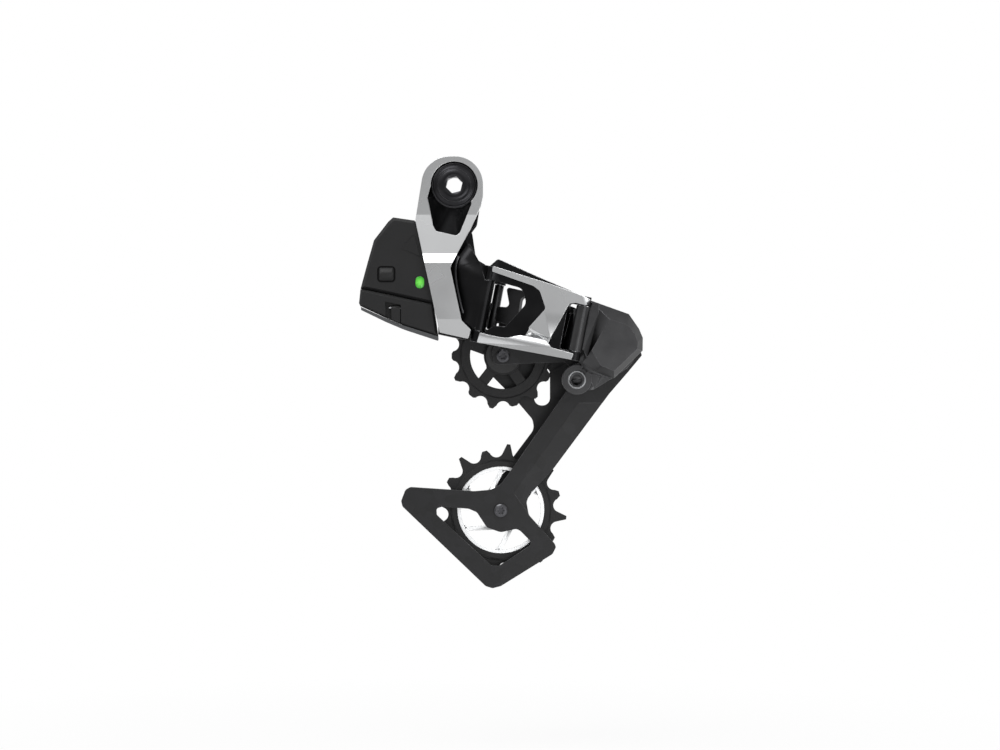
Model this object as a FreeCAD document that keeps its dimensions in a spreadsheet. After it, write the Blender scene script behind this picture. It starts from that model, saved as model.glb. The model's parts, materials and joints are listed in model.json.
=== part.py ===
import FreeCAD, Part
import Sketcher
import math
import os

# Rear derailleur for a bicycle with one chainring, battery powered, without a hanger.
# Millimetres. X points to the bicycle's front, Z up and Y inboard, towards the wheel.
# The origin lies on the hub axle's line, at the outer face of the frame's dropout.

V = FreeCAD.Vector
doc = FreeCAD.newDocument("rear_derailleur")
sheet = doc.addObject("Spreadsheet::Sheet", "Sizes")
bodies = []

# Driving dimensions, each a cell of the sheet with its own name
S = {
    # General clearances and walls
    "fit_gap": 0.05,
    "seat_gap": 0.3,
    "casing_wall": 2.0,
    # Mount: the two arms clamp the dropout between them, round a hollow bolt
    "dropout_width": 12.0,
    "arm_ring_radius": 15.4,
    "arm_depth": 9.0,
    "core_radius": 12.6,
    "core_depth": 6.0,
    "shank_radius": 8.0,
    "axle_bore_radius": 5.5,
    "hex_width": 8.0,
    "hex_depth": 6.5,
    "bolt_head_radius": 8.9,
    "bolt_head_depth": 2.6,
    "washer_radius": 12.3,
    "washer_depth": 1.6,
    "inner_arm_radius": 13.5,
    "inner_arm_depth": 5.0,
    "window_left": -14.5,
    "window_foot": -27.3,
    # Outer arm below the ring: it folds outboard in front of the knuckle
    "fold_top": 37.0,
    "fold_bottom": 42.0,
    "foot_top": 72.0,
    "arm_face": 15.0,
    "arm_foot": 83.0,
    # Knuckle on the frame and its drive
    "knuckle_front": 8.0,
    "knuckle_back": 8.5,
    "casting_face": 13.6,
    "motor_radius": 5.8,
    "motor_length": 17.0,
    # Parallelogram: pivot lines lean by the tilt, and the links are all one length
    "tilt": 11.0,
    "link_length": 56.5,
    "link_rest": -22.0,
    "link_x": 15.7,
    "link_y": -10.2,
    "link_z": -64.35,
    "inner_step": 6.5,
    "inner_depth": 12.5,
    "pin_radius": 1.6,
    "lug_radius": 3.4,
    "upper_lug_low": 13.6,
    "upper_lug_high": 21.0,
    "lower_lug_low": -20.5,
    "lower_lug_high": -14.6,
    "far_lug_low": 9.2,
    "far_lug_high": 14.0,
    "inner_barrel_radius": 2.5,
    "inner_barrel_half": 12.2,
    "gear_module": 0.75,
    "gear_teeth": 24,
    "pinion_teeth": 10,
    "gear_width": 4.0,
    # Knuckle at the cage, measured from the outer far pivot
    "cage_step_x": 14.2,
    "cage_step_z": -11.4,
    "drum_radius": 17.0,
    "drum_front": -12.0,
    "drum_back": 6.0,
    "hood_proud": 1.5,
    "hood_facet": 6.0,
    "lock_step_x": -15.4,
    "lock_step_z": -18.8,
    "lock_button_radius": 3.7,
    "lock_boss_radius": 8.0,
    "lock_travel": 1.8,
    # Cage and pulleys, measured from the cage pivot
    "guide_step_x": -55.1,
    "guide_step_z": -5.9,
    "lower_step_x": -56.3,
    "lower_step_z": -89.9,
    "cage_plate_y": 9.0,
    "cage_plate_depth": 3.0,
    "cage_facet": 1.0,
    "cage_gap": 10.0,
    "inner_plate_depth": 2.0,
    "cage_axle_radius": 5.0,
    "pulley_bolt_radius": 2.5,
    "pulley_bolt_head": 3.6,
    "sleeve_radius": 4.2,
    "bearing_radius": 7.5,
    "bearing_width": 5.6,
    "cap_radius": 9.4,
    "chain_pitch": 12.7,
    "guide_teeth": 14,
    "lower_teeth": 16,
    "tooth_width": 2.0,
    "wide_tooth_width": 3.2,
    "rim_width": 4.4,
    "spider_radius": 23.7,
    "spider_width": 3.2,
    "spoke_width": 2.4,
    # Battery and control side
    "battery_half": 13.0,
    "seam_gap": 0.3,
    "button_width": 8.4,
    "button_height": 6.9,
    "button_travel": 0.6,
}
for row, (name, value) in enumerate(S.items(), 1):
    sheet.set("A%d" % row, name)
    sheet.set("B%d" % row, str(value))
    sheet.setAlias("B%d" % row, name)

tilt = math.radians(S["tilt"])
rest = math.radians(S["link_rest"])
cage_mid = S["cage_plate_y"] + S["cage_plate_depth"] + S["cage_gap"] / 2

# Places that several pieces share, as sheet expressions and as numbers
LINK_X = "Sizes.link_x"
LINK_Z = "Sizes.link_z"
FAR_X = "(Sizes.link_x + Sizes.link_length*cos(Sizes.link_rest)*cos(Sizes.tilt))"
FAR_Y = "(Sizes.link_y + Sizes.link_length*sin(Sizes.link_rest))"
FAR_Z = "(Sizes.link_z - Sizes.link_length*cos(Sizes.link_rest)*sin(Sizes.tilt))"
CAGE = (FAR_X + " + Sizes.cage_step_x", FAR_Z + " + Sizes.cage_step_z")
LOCK = (CAGE[0] + " + Sizes.lock_step_x", CAGE[1] + " + Sizes.lock_step_z")
GUIDE = (CAGE[0] + " + Sizes.guide_step_x", CAGE[1] + " + Sizes.guide_step_z")
LOWER = (CAGE[0] + " + Sizes.lower_step_x", CAGE[1] + " + Sizes.lower_step_z")
ORIGIN = ("0", "0")

far_x = S["link_x"] + S["link_length"] * math.cos(rest) * math.cos(tilt)
far_y = S["link_y"] + S["link_length"] * math.sin(rest)
far_z = S["link_z"] - S["link_length"] * math.cos(rest) * math.sin(tilt)


def new_body(label):
    """One separate piece, whose label names its file."""
    body = doc.addObject("PartDesign::Body", label)
    body.Label = label
    bodies.append(body)
    return body


def new_sketch(body, name, role, x="0", y="0", z="0", lean=None):
    """A sketch on one of the body's own planes, with its origin at x, y, z."""
    sketch = body.newObject("Sketcher::SketchObject", body.Name + "_" + name + "_sketch")
    plane = [f for f in body.Origin.OriginFeatures if f.Role == role][0]
    sketch.AttachmentSupport = [(plane, "")]
    sketch.MapMode = "FlatFace"
    order = {"XZ_Plane": (x, z, "-(" + y + ")"), "XY_Plane": (x, y, z), "YZ_Plane": (y, z, x)}[role]
    if lean:
        sketch.AttachmentOffset = FreeCAD.Placement(V(0, 0, 0), FreeCAD.Rotation(V(0, 1, 0), 1))
        sketch.setExpression(".AttachmentOffset.Rotation.Angle", lean)
    for axis, place in zip("xyz", order):
        if place != "0":
            sketch.setExpression(".AttachmentOffset.Base." + axis, place)
    return sketch


def draw(sketch, points):
    """A closed outline of points (u, v) or (u, v, corner radius), drawn as lines and arcs."""
    corners = []
    count = len(points)
    for i, point in enumerate(points):
        here = V(point[0], point[1], 0)
        radius = point[2] if len(point) > 2 else 0
        if not radius:
            corners.append((here, here, None))
            continue
        to_last = (V(points[i - 1][0], points[i - 1][1], 0) - here).normalize()
        to_next = (V(points[(i + 1) % count][0], points[(i + 1) % count][1], 0) - here).normalize()
        half = to_last.getAngle(to_next) / 2
        reach = radius / math.tan(half)
        middle = (to_last + to_next).normalize()
        centre = here + middle * (radius / math.sin(half))
        corners.append((here + to_last * reach, here + to_next * reach, centre - middle * radius))
    for i, corner in enumerate(corners):
        if corner[2]:
            sketch.addGeometry(Part.Arc(corner[0], corner[2], corner[1]))
        following = corners[(i + 1) % count][0]
        if corner[1].distanceToPoint(following) > 1e-6:
            sketch.addGeometry(Part.LineSegment(corner[1], following))


def draw_circle(sketch, radius):
    """A circle round the sketch's origin, its radius bound to the sheet."""
    index = sketch.addGeometry(Part.Circle(V(0, 0, 0), V(0, 0, 1), 1))
    sketch.addConstraint(Sketcher.Constraint("Coincident", index, 3, -1, 1))
    constraint = sketch.addConstraint(Sketcher.Constraint("Radius", index, 1))
    sketch.setExpression("Constraints[%d]" % constraint, radius)


def extrude(body, name, sketch, length, role, cut=False):
    """A pad or a pocket towards +Y, +Z or +X from the sketch."""
    kind = "PartDesign::Pocket" if cut else "PartDesign::Pad"
    feature = body.newObject(kind, body.Name + "_" + name)
    feature.Profile = sketch
    feature.setExpression("Length", length)
    feature.Reversed = (role == "XZ_Plane") != cut
    return feature


def slab(body, name, points, near, far, at=ORIGIN, cut=False):
    """An outline seen from the side, from the depth near to the depth far."""
    sketch = new_sketch(body, name, "XZ_Plane", x=at[0], y=near, z=at[1])
    draw(sketch, points)
    return extrude(body, name, sketch, "(" + far + ") - (" + near + ")", "XZ_Plane", cut)


def disc(body, name, radius, near, far, at=ORIGIN, cut=False, bore=None):
    """A round disc or hole across the bicycle, from the depth near to the depth far."""
    sketch = new_sketch(body, name, "XZ_Plane", x=at[0], y=near, z=at[1])
    draw_circle(sketch, radius)
    if bore:
        draw_circle(sketch, bore)
    return extrude(body, name, sketch, "(" + far + ") - (" + near + ")", "XZ_Plane", cut)


def leaning(body, name, radius, low, high, x, y, z, cut=False, bore=None):
    """A round barrel or hole along the leaning pivot line through x, y, z."""
    foot_x = x + " + (" + low + ")*sin(Sizes.tilt)"
    foot_z = z + " + (" + low + ")*cos(Sizes.tilt)"
    sketch = new_sketch(body, name, "XY_Plane", foot_x, y, foot_z, lean="Sizes.tilt")
    draw_circle(sketch, radius)
    if bore:
        draw_circle(sketch, bore)
    return extrude(body, name, sketch, "(" + high + ") - (" + low + ")", "XY_Plane", cut)


def upright(body, name, radius, low, high, x="0", y="0", cut=False, bore=None):
    """A round barrel or hole along Z in the body's own frame."""
    sketch = new_sketch(body, name, "XY_Plane", x, y, low)
    draw_circle(sketch, radius)
    if bore:
        draw_circle(sketch, bore)
    return extrude(body, name, sketch, "(" + high + ") - (" + low + ")", "XY_Plane", cut)


def turned(body, name, profile, at=ORIGIN, cut=False):
    """A profile of (radius, depth) points turned about a line across the bicycle."""
    sketch = new_sketch(body, name, "XY_Plane", x=at[0], z=at[1])
    draw(sketch, profile)
    kind = "PartDesign::Groove" if cut else "PartDesign::Revolution"
    feature = body.newObject(kind, body.Name + "_" + name)
    feature.Profile = sketch
    feature.ReferenceAxis = (sketch, ["V_Axis"])
    feature.Angle = 360
    return feature


def dress(body, name, kind, base, amount, chosen):
    """A fillet or chamfer on the edges of base that chosen accepts."""
    doc.recompute()
    names = []
    for i, edge in enumerate(base.Shape.Edges):
        if chosen(edge):
            names.append("Edge%d" % (i + 1))
    feature = body.newObject("PartDesign::" + kind, body.Name + "_" + name)
    feature.Base = (base, names)
    if kind == "Fillet":
        feature.setExpression("Radius", amount)
    else:
        feature.setExpression("Size", amount)
    return feature


def at_depth(depth):
    """Accepts the edges that lie flat at one depth."""
    def test(edge):
        box = edge.BoundBox
        return abs(box.YMin - depth) < 0.01 and abs(box.YMax - depth) < 0.01
    return test


def link_placement(x, y, z):
    """The place of a link's own frame: X along the link, Z along its pivot, Y inboard."""
    lean = FreeCAD.Rotation(V(0, 1, 0), S["tilt"])
    swing = FreeCAD.Rotation(V(0, 0, 1), S["link_rest"])
    return FreeCAD.Placement(V(x, y, z), lean.multiply(swing))


# Outer arm: a forged ring on the dropout, and a strap that folds outboard below it
arm = new_body("outer_arm")
ring = S["arm_ring_radius"]
fold_top, fold_bottom = -S["fold_top"], -S["fold_bottom"]
foot_top, foot = -S["foot_top"], -S["arm_foot"]
arm_outline = [
    (-ring, ring, ring * 0.98),
    (ring, ring, ring * 0.98),
    (ring, -6.0, 8),
    (14.2, -11.5, 6),
    (7.1, -26.7, 4),
    (-1.2, -42.6, 2.5),
    (-2.0, -44.8, 2),
    (4.05, foot_top - 0.9, 2),
    (9.0, foot_top - 5.8, 1),
    (7.5, foot + 0.3, 0.8),
    (-7.7, foot + 3.7, 0.8),
    (-20.9, -19.1, 6),
]
slab(arm, "blank", arm_outline, "-Sizes.arm_face - 2.5", "0")
face = S["arm_face"]
sketch = new_sketch(arm, "front", "YZ_Plane", x="-30")
draw(sketch, [
    (-30, 30), (-S["arm_depth"], 30), (-S["arm_depth"], -16), (-face + 3.2, fold_top),
    (-face + 0.2, fold_bottom), (-face, foot_top), (-face - 1.6, foot - 3), (-30, foot - 3),
])
extrude(arm, "front", sketch, "60", "YZ_Plane", cut=True)
sketch = new_sketch(arm, "back", "YZ_Plane", x="-30")
back = S["knuckle_front"]
draw(sketch, [(5, -27.5), (0, -27.5, 1), (-back, -32.5, 2), (-back, foot - 3), (5, foot - 3)])
extrude(arm, "back", sketch, "60", "YZ_Plane", cut=True)
window = [
    (S["window_left"], -7.0, 2),
    (-11.4, -22.1, 2),
    (-9.9, -24.8, 1.5),
    (1.1, S["window_foot"], 1.5),
    (3.0, -25.9, 1.5),
    (9.4, -10.0, 2),
    (6.0, 0.0),
    (-12.0, 2.0),
]
slab(arm, "window", window, "-30", "5", cut=True)
disc(arm, "bore", "Sizes.core_radius", "-30", "5", cut=True)

# Core of the arm: the black inner face round the bolt, with the pocket under it
core = new_body("arm_core")
trim = 0.1
core_window = [
    (S["window_left"] + trim, -7.0, 2),
    (-11.4 + trim, -22.1, 2),
    (-9.9 + trim, -24.8 + trim, 1.5),
    (1.1, S["window_foot"] + trim, 1.5),
    (3.0 - trim, -25.9 + trim, 1.5),
    (9.4 - trim, -10.0, 2),
    (6.0, 0.0),
    (-12.0, 2.0),
]
disc(core, "seat", "Sizes.core_radius - 0.1", "-Sizes.core_depth", "0")
slab(core, "pocket", core_window, "-Sizes.core_depth + 1.5", "-Sizes.seat_gap")
disc(core, "bore", "Sizes.shank_radius + Sizes.fit_gap", "-30", "5", cut=True)

# Washer: a stepped disc between the bolt's head and the core
washer = new_body("mount_washer")
core_face = -S["core_depth"]
washer_face = core_face - S["washer_depth"]
shank = S["shank_radius"]
turned(washer, "disc", [
    (shank + 0.15, core_face),
    (S["washer_radius"] - 0.9, core_face),
    (S["washer_radius"] - 0.9, core_face - 0.6),
    (S["washer_radius"], core_face - 0.6),
    (S["washer_radius"], washer_face + 0.4),
    (S["washer_radius"] - 0.5, washer_face),
    (11.4, washer_face),
    (11.2, washer_face + 0.4),
    (10.4, washer_face + 0.4),
    (10.1, washer_face),
    (shank + 0.15, washer_face),
])

# Mount bolt: hollow, with a hexagon at the head and the axle's thread inboard
bolt = new_body("mount_bolt")
arm_far = S["dropout_width"] + S["inner_arm_depth"]
head_face = washer_face - S["bolt_head_depth"]
turned(bolt, "blank", [
    (S["axle_bore_radius"] - 2.5, head_face + 1.0),
    (S["axle_bore_radius"] - 0.3, head_face),
    (S["bolt_head_radius"] - 1.2, head_face),
    (S["bolt_head_radius"], head_face + 1.0),
    (S["bolt_head_radius"], washer_face),
    (shank, washer_face),
    (shank, arm_far - 0.4),
    (shank - 0.4, arm_far),
    (S["axle_bore_radius"], arm_far),
    (S["axle_bore_radius"], head_face + S["hex_depth"]),
    (S["axle_bore_radius"] - 2.5, head_face + S["hex_depth"] - 0.6),
])
hex_corner = S["hex_width"] / math.sqrt(3)
hexagon = []
for k in range(6):
    turn = math.radians(15.5 + 60 * k)
    hexagon.append((hex_corner * math.cos(turn), hex_corner * math.sin(turn)))
slab(bolt, "hexagon", hexagon, "-30", "5", cut=True)

# Knuckle casting: the inner arm, the gearbox block and the lugs for both links
casting = new_body("knuckle_casting")
inner_ring = S["inner_arm_radius"]
slab(casting, "inner_arm", [
    (-inner_ring, inner_ring, inner_ring * 0.98),
    (inner_ring, inner_ring, inner_ring * 0.98),
    (13.9, -8.5, 5),
    (12.0, -20.6, 3),
    (9.2, -24.5),
    (7.6, -30.0),
    (-8.6, -30.0),
    (-8.6, -24.5),
    (-13.0, -10.0, 5),
], "Sizes.dropout_width", "Sizes.dropout_width + Sizes.inner_arm_depth")
slab(casting, "shoulder", [
    (-8.6, -24.5, 2),
    (9.4, -24.5, 2),
    (11.3, -37.3, 2),
    (12.0, -40.0),
    (-8.6, -40.0),
], "0.3", "Sizes.dropout_width + Sizes.inner_arm_depth")
block = [
    (-8.6, -29.0),
    (6.5, -29.5, 2),
    (11.3, -37.3, 3),
    (13.2, -40.7, 2),
    (17.4, -43.2, 2),
    (15.2, -56.0),
    (12.0, -72.0),
    (10.6, -78.5, 2),
    (5.5, -83.2, 2),
    (-8.6, -80.2),
]
slab(casting, "block", block, "-Sizes.knuckle_front", "Sizes.knuckle_back")
slab(casting, "face", [
    (8.0, -31.0, 1),
    (11.6, -38.2, 2),
    (13.4, -41.2, 1.5),
    (20.9, -47.5, 1.5),
    (15.0, -77.3, 2),
    (9.6, -77.3, 0.5),
    (4.6, -73.0, 2),
    (-1.3, -44.9, 2),
    (-0.4, -42.4, 2),
], "-Sizes.casting_face", "-Sizes.knuckle_front + 4")
slab(casting, "arm_seat", [(-30.0, -20.0), (9.5, -20.0), (7.5, -26.6), (3.5, -34.2), (-30.0, -34.2)],
     "-30", "Sizes.seat_gap", cut=True)
leaning(casting, "barrel", "Sizes.lug_radius + 0.4", "Sizes.lower_lug_high + 0.3",
        "Sizes.upper_lug_low - 0.3", LINK_X, "Sizes.link_y", LINK_Z)
INNER_X = "Sizes.link_x + Sizes.inner_step*cos(Sizes.tilt)"
INNER_Y = "Sizes.link_y + Sizes.inner_depth"
INNER_Z = "Sizes.link_z - Sizes.inner_step*sin(Sizes.tilt)"
half = S["inner_barrel_half"]


def lug_web(name, low, high):
    """A flat web from the block to a lug of the inner pivot, between two heights."""
    foot_x = "Sizes.link_x + (%s)*sin(Sizes.tilt)" % low
    foot_z = "Sizes.link_z + (%s)*cos(Sizes.tilt)" % low
    web = new_sketch(casting, name, "XY_Plane", foot_x, INNER_Y, foot_z, lean="Sizes.tilt")
    draw(web, [(-3.0, -3.2), (S["inner_step"], -3.2), (S["inner_step"], 3.2), (-3.0, 5.0)])
    extrude(casting, name, web, "(%s) - (%s)" % (high, low), "XY_Plane")


for name, low, high in (
    ("high", "Sizes.inner_barrel_half + 0.3", "Sizes.inner_barrel_half + 4.5"),
    ("low", "-Sizes.inner_barrel_half - 4.3", "-Sizes.inner_barrel_half - 0.3"),
):
    lug_web("web_" + name, low, high)
    leaning(casting, "lug_" + name, "3.2", low, high, INNER_X, INNER_Y, INNER_Z)
for name, low, high in (("high", "Sizes.upper_lug_low - 0.3", "Sizes.upper_lug_high + 6"),
                        ("low", "Sizes.lower_lug_low - 3", "Sizes.lower_lug_high + 0.3")):
    leaning(casting, "link_room_" + name, "Sizes.lug_radius + 0.4", low, high,
            LINK_X, "Sizes.link_y", LINK_Z, cut=True)
leaning(casting, "outer_bore", "Sizes.pin_radius + 0.03", "-30", "30",
        LINK_X, "Sizes.link_y", LINK_Z, cut=True)
leaning(casting, "inner_bore", "Sizes.pin_radius", "-30", "30", INNER_X, INNER_Y, INNER_Z, cut=True)

# Room for the drive: the gear's chamber, the pinion's and the motor's bore
DRIVE_STEP = "(Sizes.inner_step - Sizes.gear_module*(Sizes.gear_teeth + Sizes.pinion_teeth)/2)"
DRIVE_X = "Sizes.link_x + " + DRIVE_STEP + "*cos(Sizes.tilt)"
DRIVE_Z = "Sizes.link_z - " + DRIVE_STEP + "*sin(Sizes.tilt)"
GEAR_TIP = "Sizes.gear_module*(Sizes.gear_teeth/2 + 1)"
PINION_TIP = "Sizes.gear_module*(Sizes.pinion_teeth/2 + 1)"
leaning(casting, "gear_room", GEAR_TIP + " + 0.5", "-Sizes.gear_width/2 - 0.4",
        "Sizes.gear_width/2 + 0.4", INNER_X, INNER_Y, INNER_Z, cut=True)
leaning(casting, "pinion_room", PINION_TIP + " + 0.5", "-Sizes.gear_width/2 - 0.4",
        "Sizes.gear_width/2 + 1.4", DRIVE_X, INNER_Y, DRIVE_Z, cut=True)
leaning(casting, "motor_bore", "Sizes.motor_radius + Sizes.fit_gap", "Sizes.gear_width/2 + 1.2",
        "Sizes.gear_width/2 + 1.4 + Sizes.motor_length", DRIVE_X, INNER_Y, DRIVE_Z, cut=True)
disc(casting, "mount_bore", "Sizes.shank_radius + Sizes.fit_gap", "Sizes.dropout_width - 2", "30",
     cut=True)

# Motor: a slim can in the casting
motor = new_body("gear_motor")
leaning(motor, "can", "Sizes.motor_radius", "Sizes.gear_width/2 + 1.4",
        "Sizes.gear_width/2 + 1.4 + Sizes.motor_length", DRIVE_X, INNER_Y, DRIVE_Z)


def gear_points(teeth, first, last, turn):
    """Teeth of a spur gear from one count to another, turned by an angle in degrees."""
    pitch = 360.0 / teeth
    radius = S["gear_module"] * teeth / 2
    tip = radius + 0.85 * S["gear_module"]
    root = radius - 1.2 * S["gear_module"]
    points = []
    for k in range(first, last):
        middle = turn + pitch * k
        for part, reach in ((-0.27, root), (-0.09, tip), (0.09, tip), (0.27, root)):
            angle = math.radians(middle + part * pitch)
            points.append((reach * math.cos(angle), reach * math.sin(angle)))
    return points


# Pinion on the motor's shaft, with a tooth in the gap of the gear that it drives
pinion = new_body("motor_pinion")
gear_pitch = 360.0 / S["gear_teeth"]
gear_offset = (-S["link_rest"] / gear_pitch) % 1.0
gap_offset = (0.5 - gear_offset) * gear_pitch
pinion_turn = -gap_offset * S["gear_teeth"] / S["pinion_teeth"]
foot_x = DRIVE_X + " - Sizes.gear_width/2*sin(Sizes.tilt)"
foot_z = DRIVE_Z + " - Sizes.gear_width/2*cos(Sizes.tilt)"
sketch = new_sketch(pinion, "teeth", "XY_Plane", foot_x, INNER_Y, foot_z, lean="Sizes.tilt")
draw(sketch, gear_points(int(S["pinion_teeth"]), 0, int(S["pinion_teeth"]), pinion_turn))
extrude(pinion, "teeth", sketch, "Sizes.gear_width", "XY_Plane")
leaning(pinion, "shaft", "1.5", "0", "Sizes.gear_width/2 + 1.2", DRIVE_X, INNER_Y, DRIVE_Z)

# Drive housing: a moulded shell behind the arm, open inboard
housing_outline = [
    (-8.9, -28.0),
    (-21.3, -19.0),
    (-32.9, -17.3),
    (-35.5, -19.6),
    (-43.2, -29.6),
    (-46.7, -41.9),
    (-50.4, -55.6),
    (-44.4, -56.6),
    (-8.9, -64.3),
]


def inset(points, gap):
    """The outline moved inwards by a gap, for a wall. Its points run anticlockwise."""
    moved = []
    count = len(points)
    for i in range(count):
        before = V(points[i - 1][0], points[i - 1][1], 0)
        here = V(points[i][0], points[i][1], 0)
        after = V(points[(i + 1) % count][0], points[(i + 1) % count][1], 0)
        first = (here - before).normalize()
        second = (after - here).normalize()
        normal = V(-first.y, first.x, 0) + V(-second.y, second.x, 0)
        normal = normal * (gap / (1 + first.dot(second)))
        moved.append((here.x + normal.x, here.y + normal.y))
    return moved


wall = S["casing_wall"]
housing = new_body("drive_housing")
shell = slab(housing, "shell", housing_outline, "-Sizes.knuckle_front", "Sizes.battery_half - 1")
dress(housing, "brow", "Chamfer", shell, "1.6", at_depth(-S["knuckle_front"]))
slab(housing, "hollow", inset(housing_outline, wall), "-Sizes.knuckle_front + Sizes.casing_wall",
     "Sizes.battery_half", cut=True)
arm_room = [(-23.5, -10.0), (-8.0, -10.0), (-8.0, -34.2), (-17.8, -34.2), (-21.3, -19.1)]
slab(housing, "arm_room", arm_room, "-30", "Sizes.seat_gap", cut=True)
slab(housing, "button_hole", [
    (-4.4, -3.65, 1.3), (4.4, -3.65, 1.3), (4.4, 3.65, 1.3), (-4.4, 3.65, 1.3),
], "-30", "-Sizes.knuckle_front + Sizes.casing_wall + 1", at=("-36.5", "-47.9"), cut=True)
slab(housing, "light_hole", [
    (-2.4, -3.3, 2.3), (2.4, -3.3, 2.3), (2.4, 3.3, 2.3), (-2.4, 3.3, 2.3),
], "-30", "-Sizes.knuckle_front + Sizes.casing_wall + 1", at=("-18.5", "-52.3"), cut=True)

# Rear cover of the housing, let into the shell's open side
cover = new_body("housing_cover")
slab(cover, "plate", inset(housing_outline, wall + 0.1), "Sizes.battery_half - 3",
     "Sizes.battery_half - 1")
screw_places = ((-35.0, -25.0), (-16.0, -28.5), (-42.0, -51.0))
for k, place in enumerate(screw_places):
    disc(cover, "hole_%d" % k, "0.9", "0", "30", at=(str(place[0]), str(place[1])), cut=True)
screws = new_body("housing_screws")
for k, place in enumerate(screw_places):
    at = (str(place[0]), str(place[1]))
    disc(screws, "head_%d" % k, "1.8", "Sizes.battery_half - 1", "Sizes.battery_half - 0.1", at=at)
    disc(screws, "stem_%d" % k, "0.85", "Sizes.battery_half - 3.6", "Sizes.battery_half - 1", at=at)

# Circuit board behind the button, with its switch and the light
board = new_body("circuit_board")
slab(board, "board", inset(housing_outline, wall + 0.25), "-Sizes.knuckle_front + 5.2",
     "-Sizes.knuckle_front + 6.2")
slab(board, "arm_room", arm_room, "-30", "Sizes.seat_gap", cut=True)
slab(board, "switch", [(-2, -2), (2, -2), (2, 2), (-2, 2)],
     "-Sizes.knuckle_front + Sizes.casing_wall + 1.0 + Sizes.button_travel",
     "-Sizes.knuckle_front + 5.2", at=("-36.5", "-47.9"))
slab(board, "chip", [(-4, -4), (4, -4), (4, 4), (-4, 4)], "-Sizes.knuckle_front + 6.2",
     "-Sizes.knuckle_front + 7.4", at=("-26.0", "-40.0"))

# Control button, with a lip behind the housing's wall
button = new_body("control_button")
bw, bh = S["button_width"] / 2 - 0.2, S["button_height"] / 2
slab(button, "cap", [(-bw, -bh, 1.2), (bw, -bh, 1.2), (bw, bh, 1.2), (-bw, bh, 1.2)],
     "-Sizes.knuckle_front - 0.3", "-Sizes.knuckle_front + 2.3", at=("-36.5", "-47.9"))
slab(button, "lip", [
    (-bw - 1.2, -bh - 1.0, 1.5), (bw + 1.2, -bh - 1.0, 1.5),
    (bw + 1.2, bh + 1.0, 1.5), (-bw - 1.2, bh + 1.0, 1.5),
], "-Sizes.knuckle_front + Sizes.casing_wall + 0.1",
     "-Sizes.knuckle_front + Sizes.casing_wall + 0.9", at=("-36.5", "-47.9"))

# Indicator light: a clear oval pipe through the housing's wall
light = new_body("indicator_light")
slab(light, "pipe", [
    (-2.3, -3.2, 2.2), (2.3, -3.2, 2.2), (2.3, 3.2, 2.2), (-2.3, 3.2, 2.2),
], "-Sizes.knuckle_front - 0.15", "-Sizes.knuckle_front + 4.9", at=("-18.5", "-52.3"))

# Battery: a wedge-shaped pack that slides off rearwards along the seam
seam = S["seam_gap"]
battery_outline = [
    (-50.4, -55.6 - seam),
    (-51.2, -63.5),
    (-50.5, -65.0),
    (-37.6, -71.0),
    (-27.8, -75.2),
    (-8.9, -81.2),
    (-11.3, -63.8 - seam),
    (-44.4, -56.6 - seam),
]
battery = new_body("battery")
BATTERY_NEAR = "-Sizes.knuckle_front - 0.4"
pack = slab(battery, "case", battery_outline, BATTERY_NEAR, "Sizes.battery_half")
dress(battery, "edge", "Chamfer", pack, "1.2", at_depth(-S["knuckle_front"] - 0.4))
slab(battery, "latch_pocket", [(-37.2, -62.6, 0.5), (-36.6, -71.5), (-28.6, -75.0), (-28.7, -64.4, 0.5)],
     BATTERY_NEAR + " - 1", BATTERY_NEAR + " + 3", cut=True)

# Strip under the battery and the arm
strip = new_body("battery_skid")
slab(strip, "strip", [
    (-50.2, -65.5), (-50.0, -67.2, 0.5), (-37.2, -73.4, 30), (-27.2, -77.6, 30), (-8.9, -83.6, 0.5),
    (-8.9, -81.3), (-27.8, -75.3, 30), (-37.6, -71.1, 30),
], BATTERY_NEAR + " + 0.5", "Sizes.battery_half - 0.5")

# Latch: a tab in a pocket of the battery, on a small pin
latch = new_body("battery_latch")
slab(latch, "tab", [(-33.8, -65.6, 0.5), (-33.8, -72.2), (-29.1, -74.2, 0.5), (-29.1, -65.6, 0.5)],
     BATTERY_NEAR, BATTERY_NEAR + " + 1.8")
latch_pin = new_body("latch_pin")

for body, name, amount in ((latch, "eye", "1.1"), (latch_pin, "pin", "0.6")):
    sketch = new_sketch(body, name, "YZ_Plane", x="-33.8" if body is latch else "-35.2",
                        y=BATTERY_NEAR + " + 1.5", z="-66.0")
    draw_circle(sketch, amount)
    if body is latch:
        extrude(body, name, sketch, "4.7", "YZ_Plane")
        hole = new_sketch(body, "hole", "YZ_Plane", x="-40", y=BATTERY_NEAR + " + 1.5", z="-66.0")
        draw_circle(hole, "0.65")
        extrude(body, "hole", hole, "20", "YZ_Plane", cut=True)
    else:
        extrude(body, name, sketch, "6.3", "YZ_Plane")

# Outer link: a bright forged face with two bars, in the link's own frame
link = new_body("outer_link")
bar_face = "-5.2"
slab(link, "face", [
    (3.0, 21.2, 0.8), (37.5, 17.1), (56.4, 14.1), (60.4, 13.0, 0.8), (59.6, 9.4, 0.8),
    (53.4, 9.7, 2), (50.2, 8.6, 1), (48.6, 3.8), (43.4, -11.0, 0.5), (29.1, -9.3, 1.5),
    (37.6, 3.8, 2), (32.4, 12.5, 2), (28.3, 14.5, 2), (3.4, 18.2, 0.5),
], bar_face, "-2.0")
slab(link, "low_bar", [
    (3.1, -15.2, 0.6), (13.0, -15.6, 4), (18.8, -15.3, 4), (26.0, -12.6, 3), (40.2, -12.3, 2),
    (45.0, -15.9, 2), (58.0, -16.9, 0.6), (57.0, -20.2, 0.6), (2.4, -20.5, 0.6),
], bar_face, "-2.0")
slab(link, "bridge", [
    (29.6, -9.0), (43.0, -10.6), (42.0, -14.0), (28.0, -14.0),
], "-3.4", "-2.0")
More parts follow.
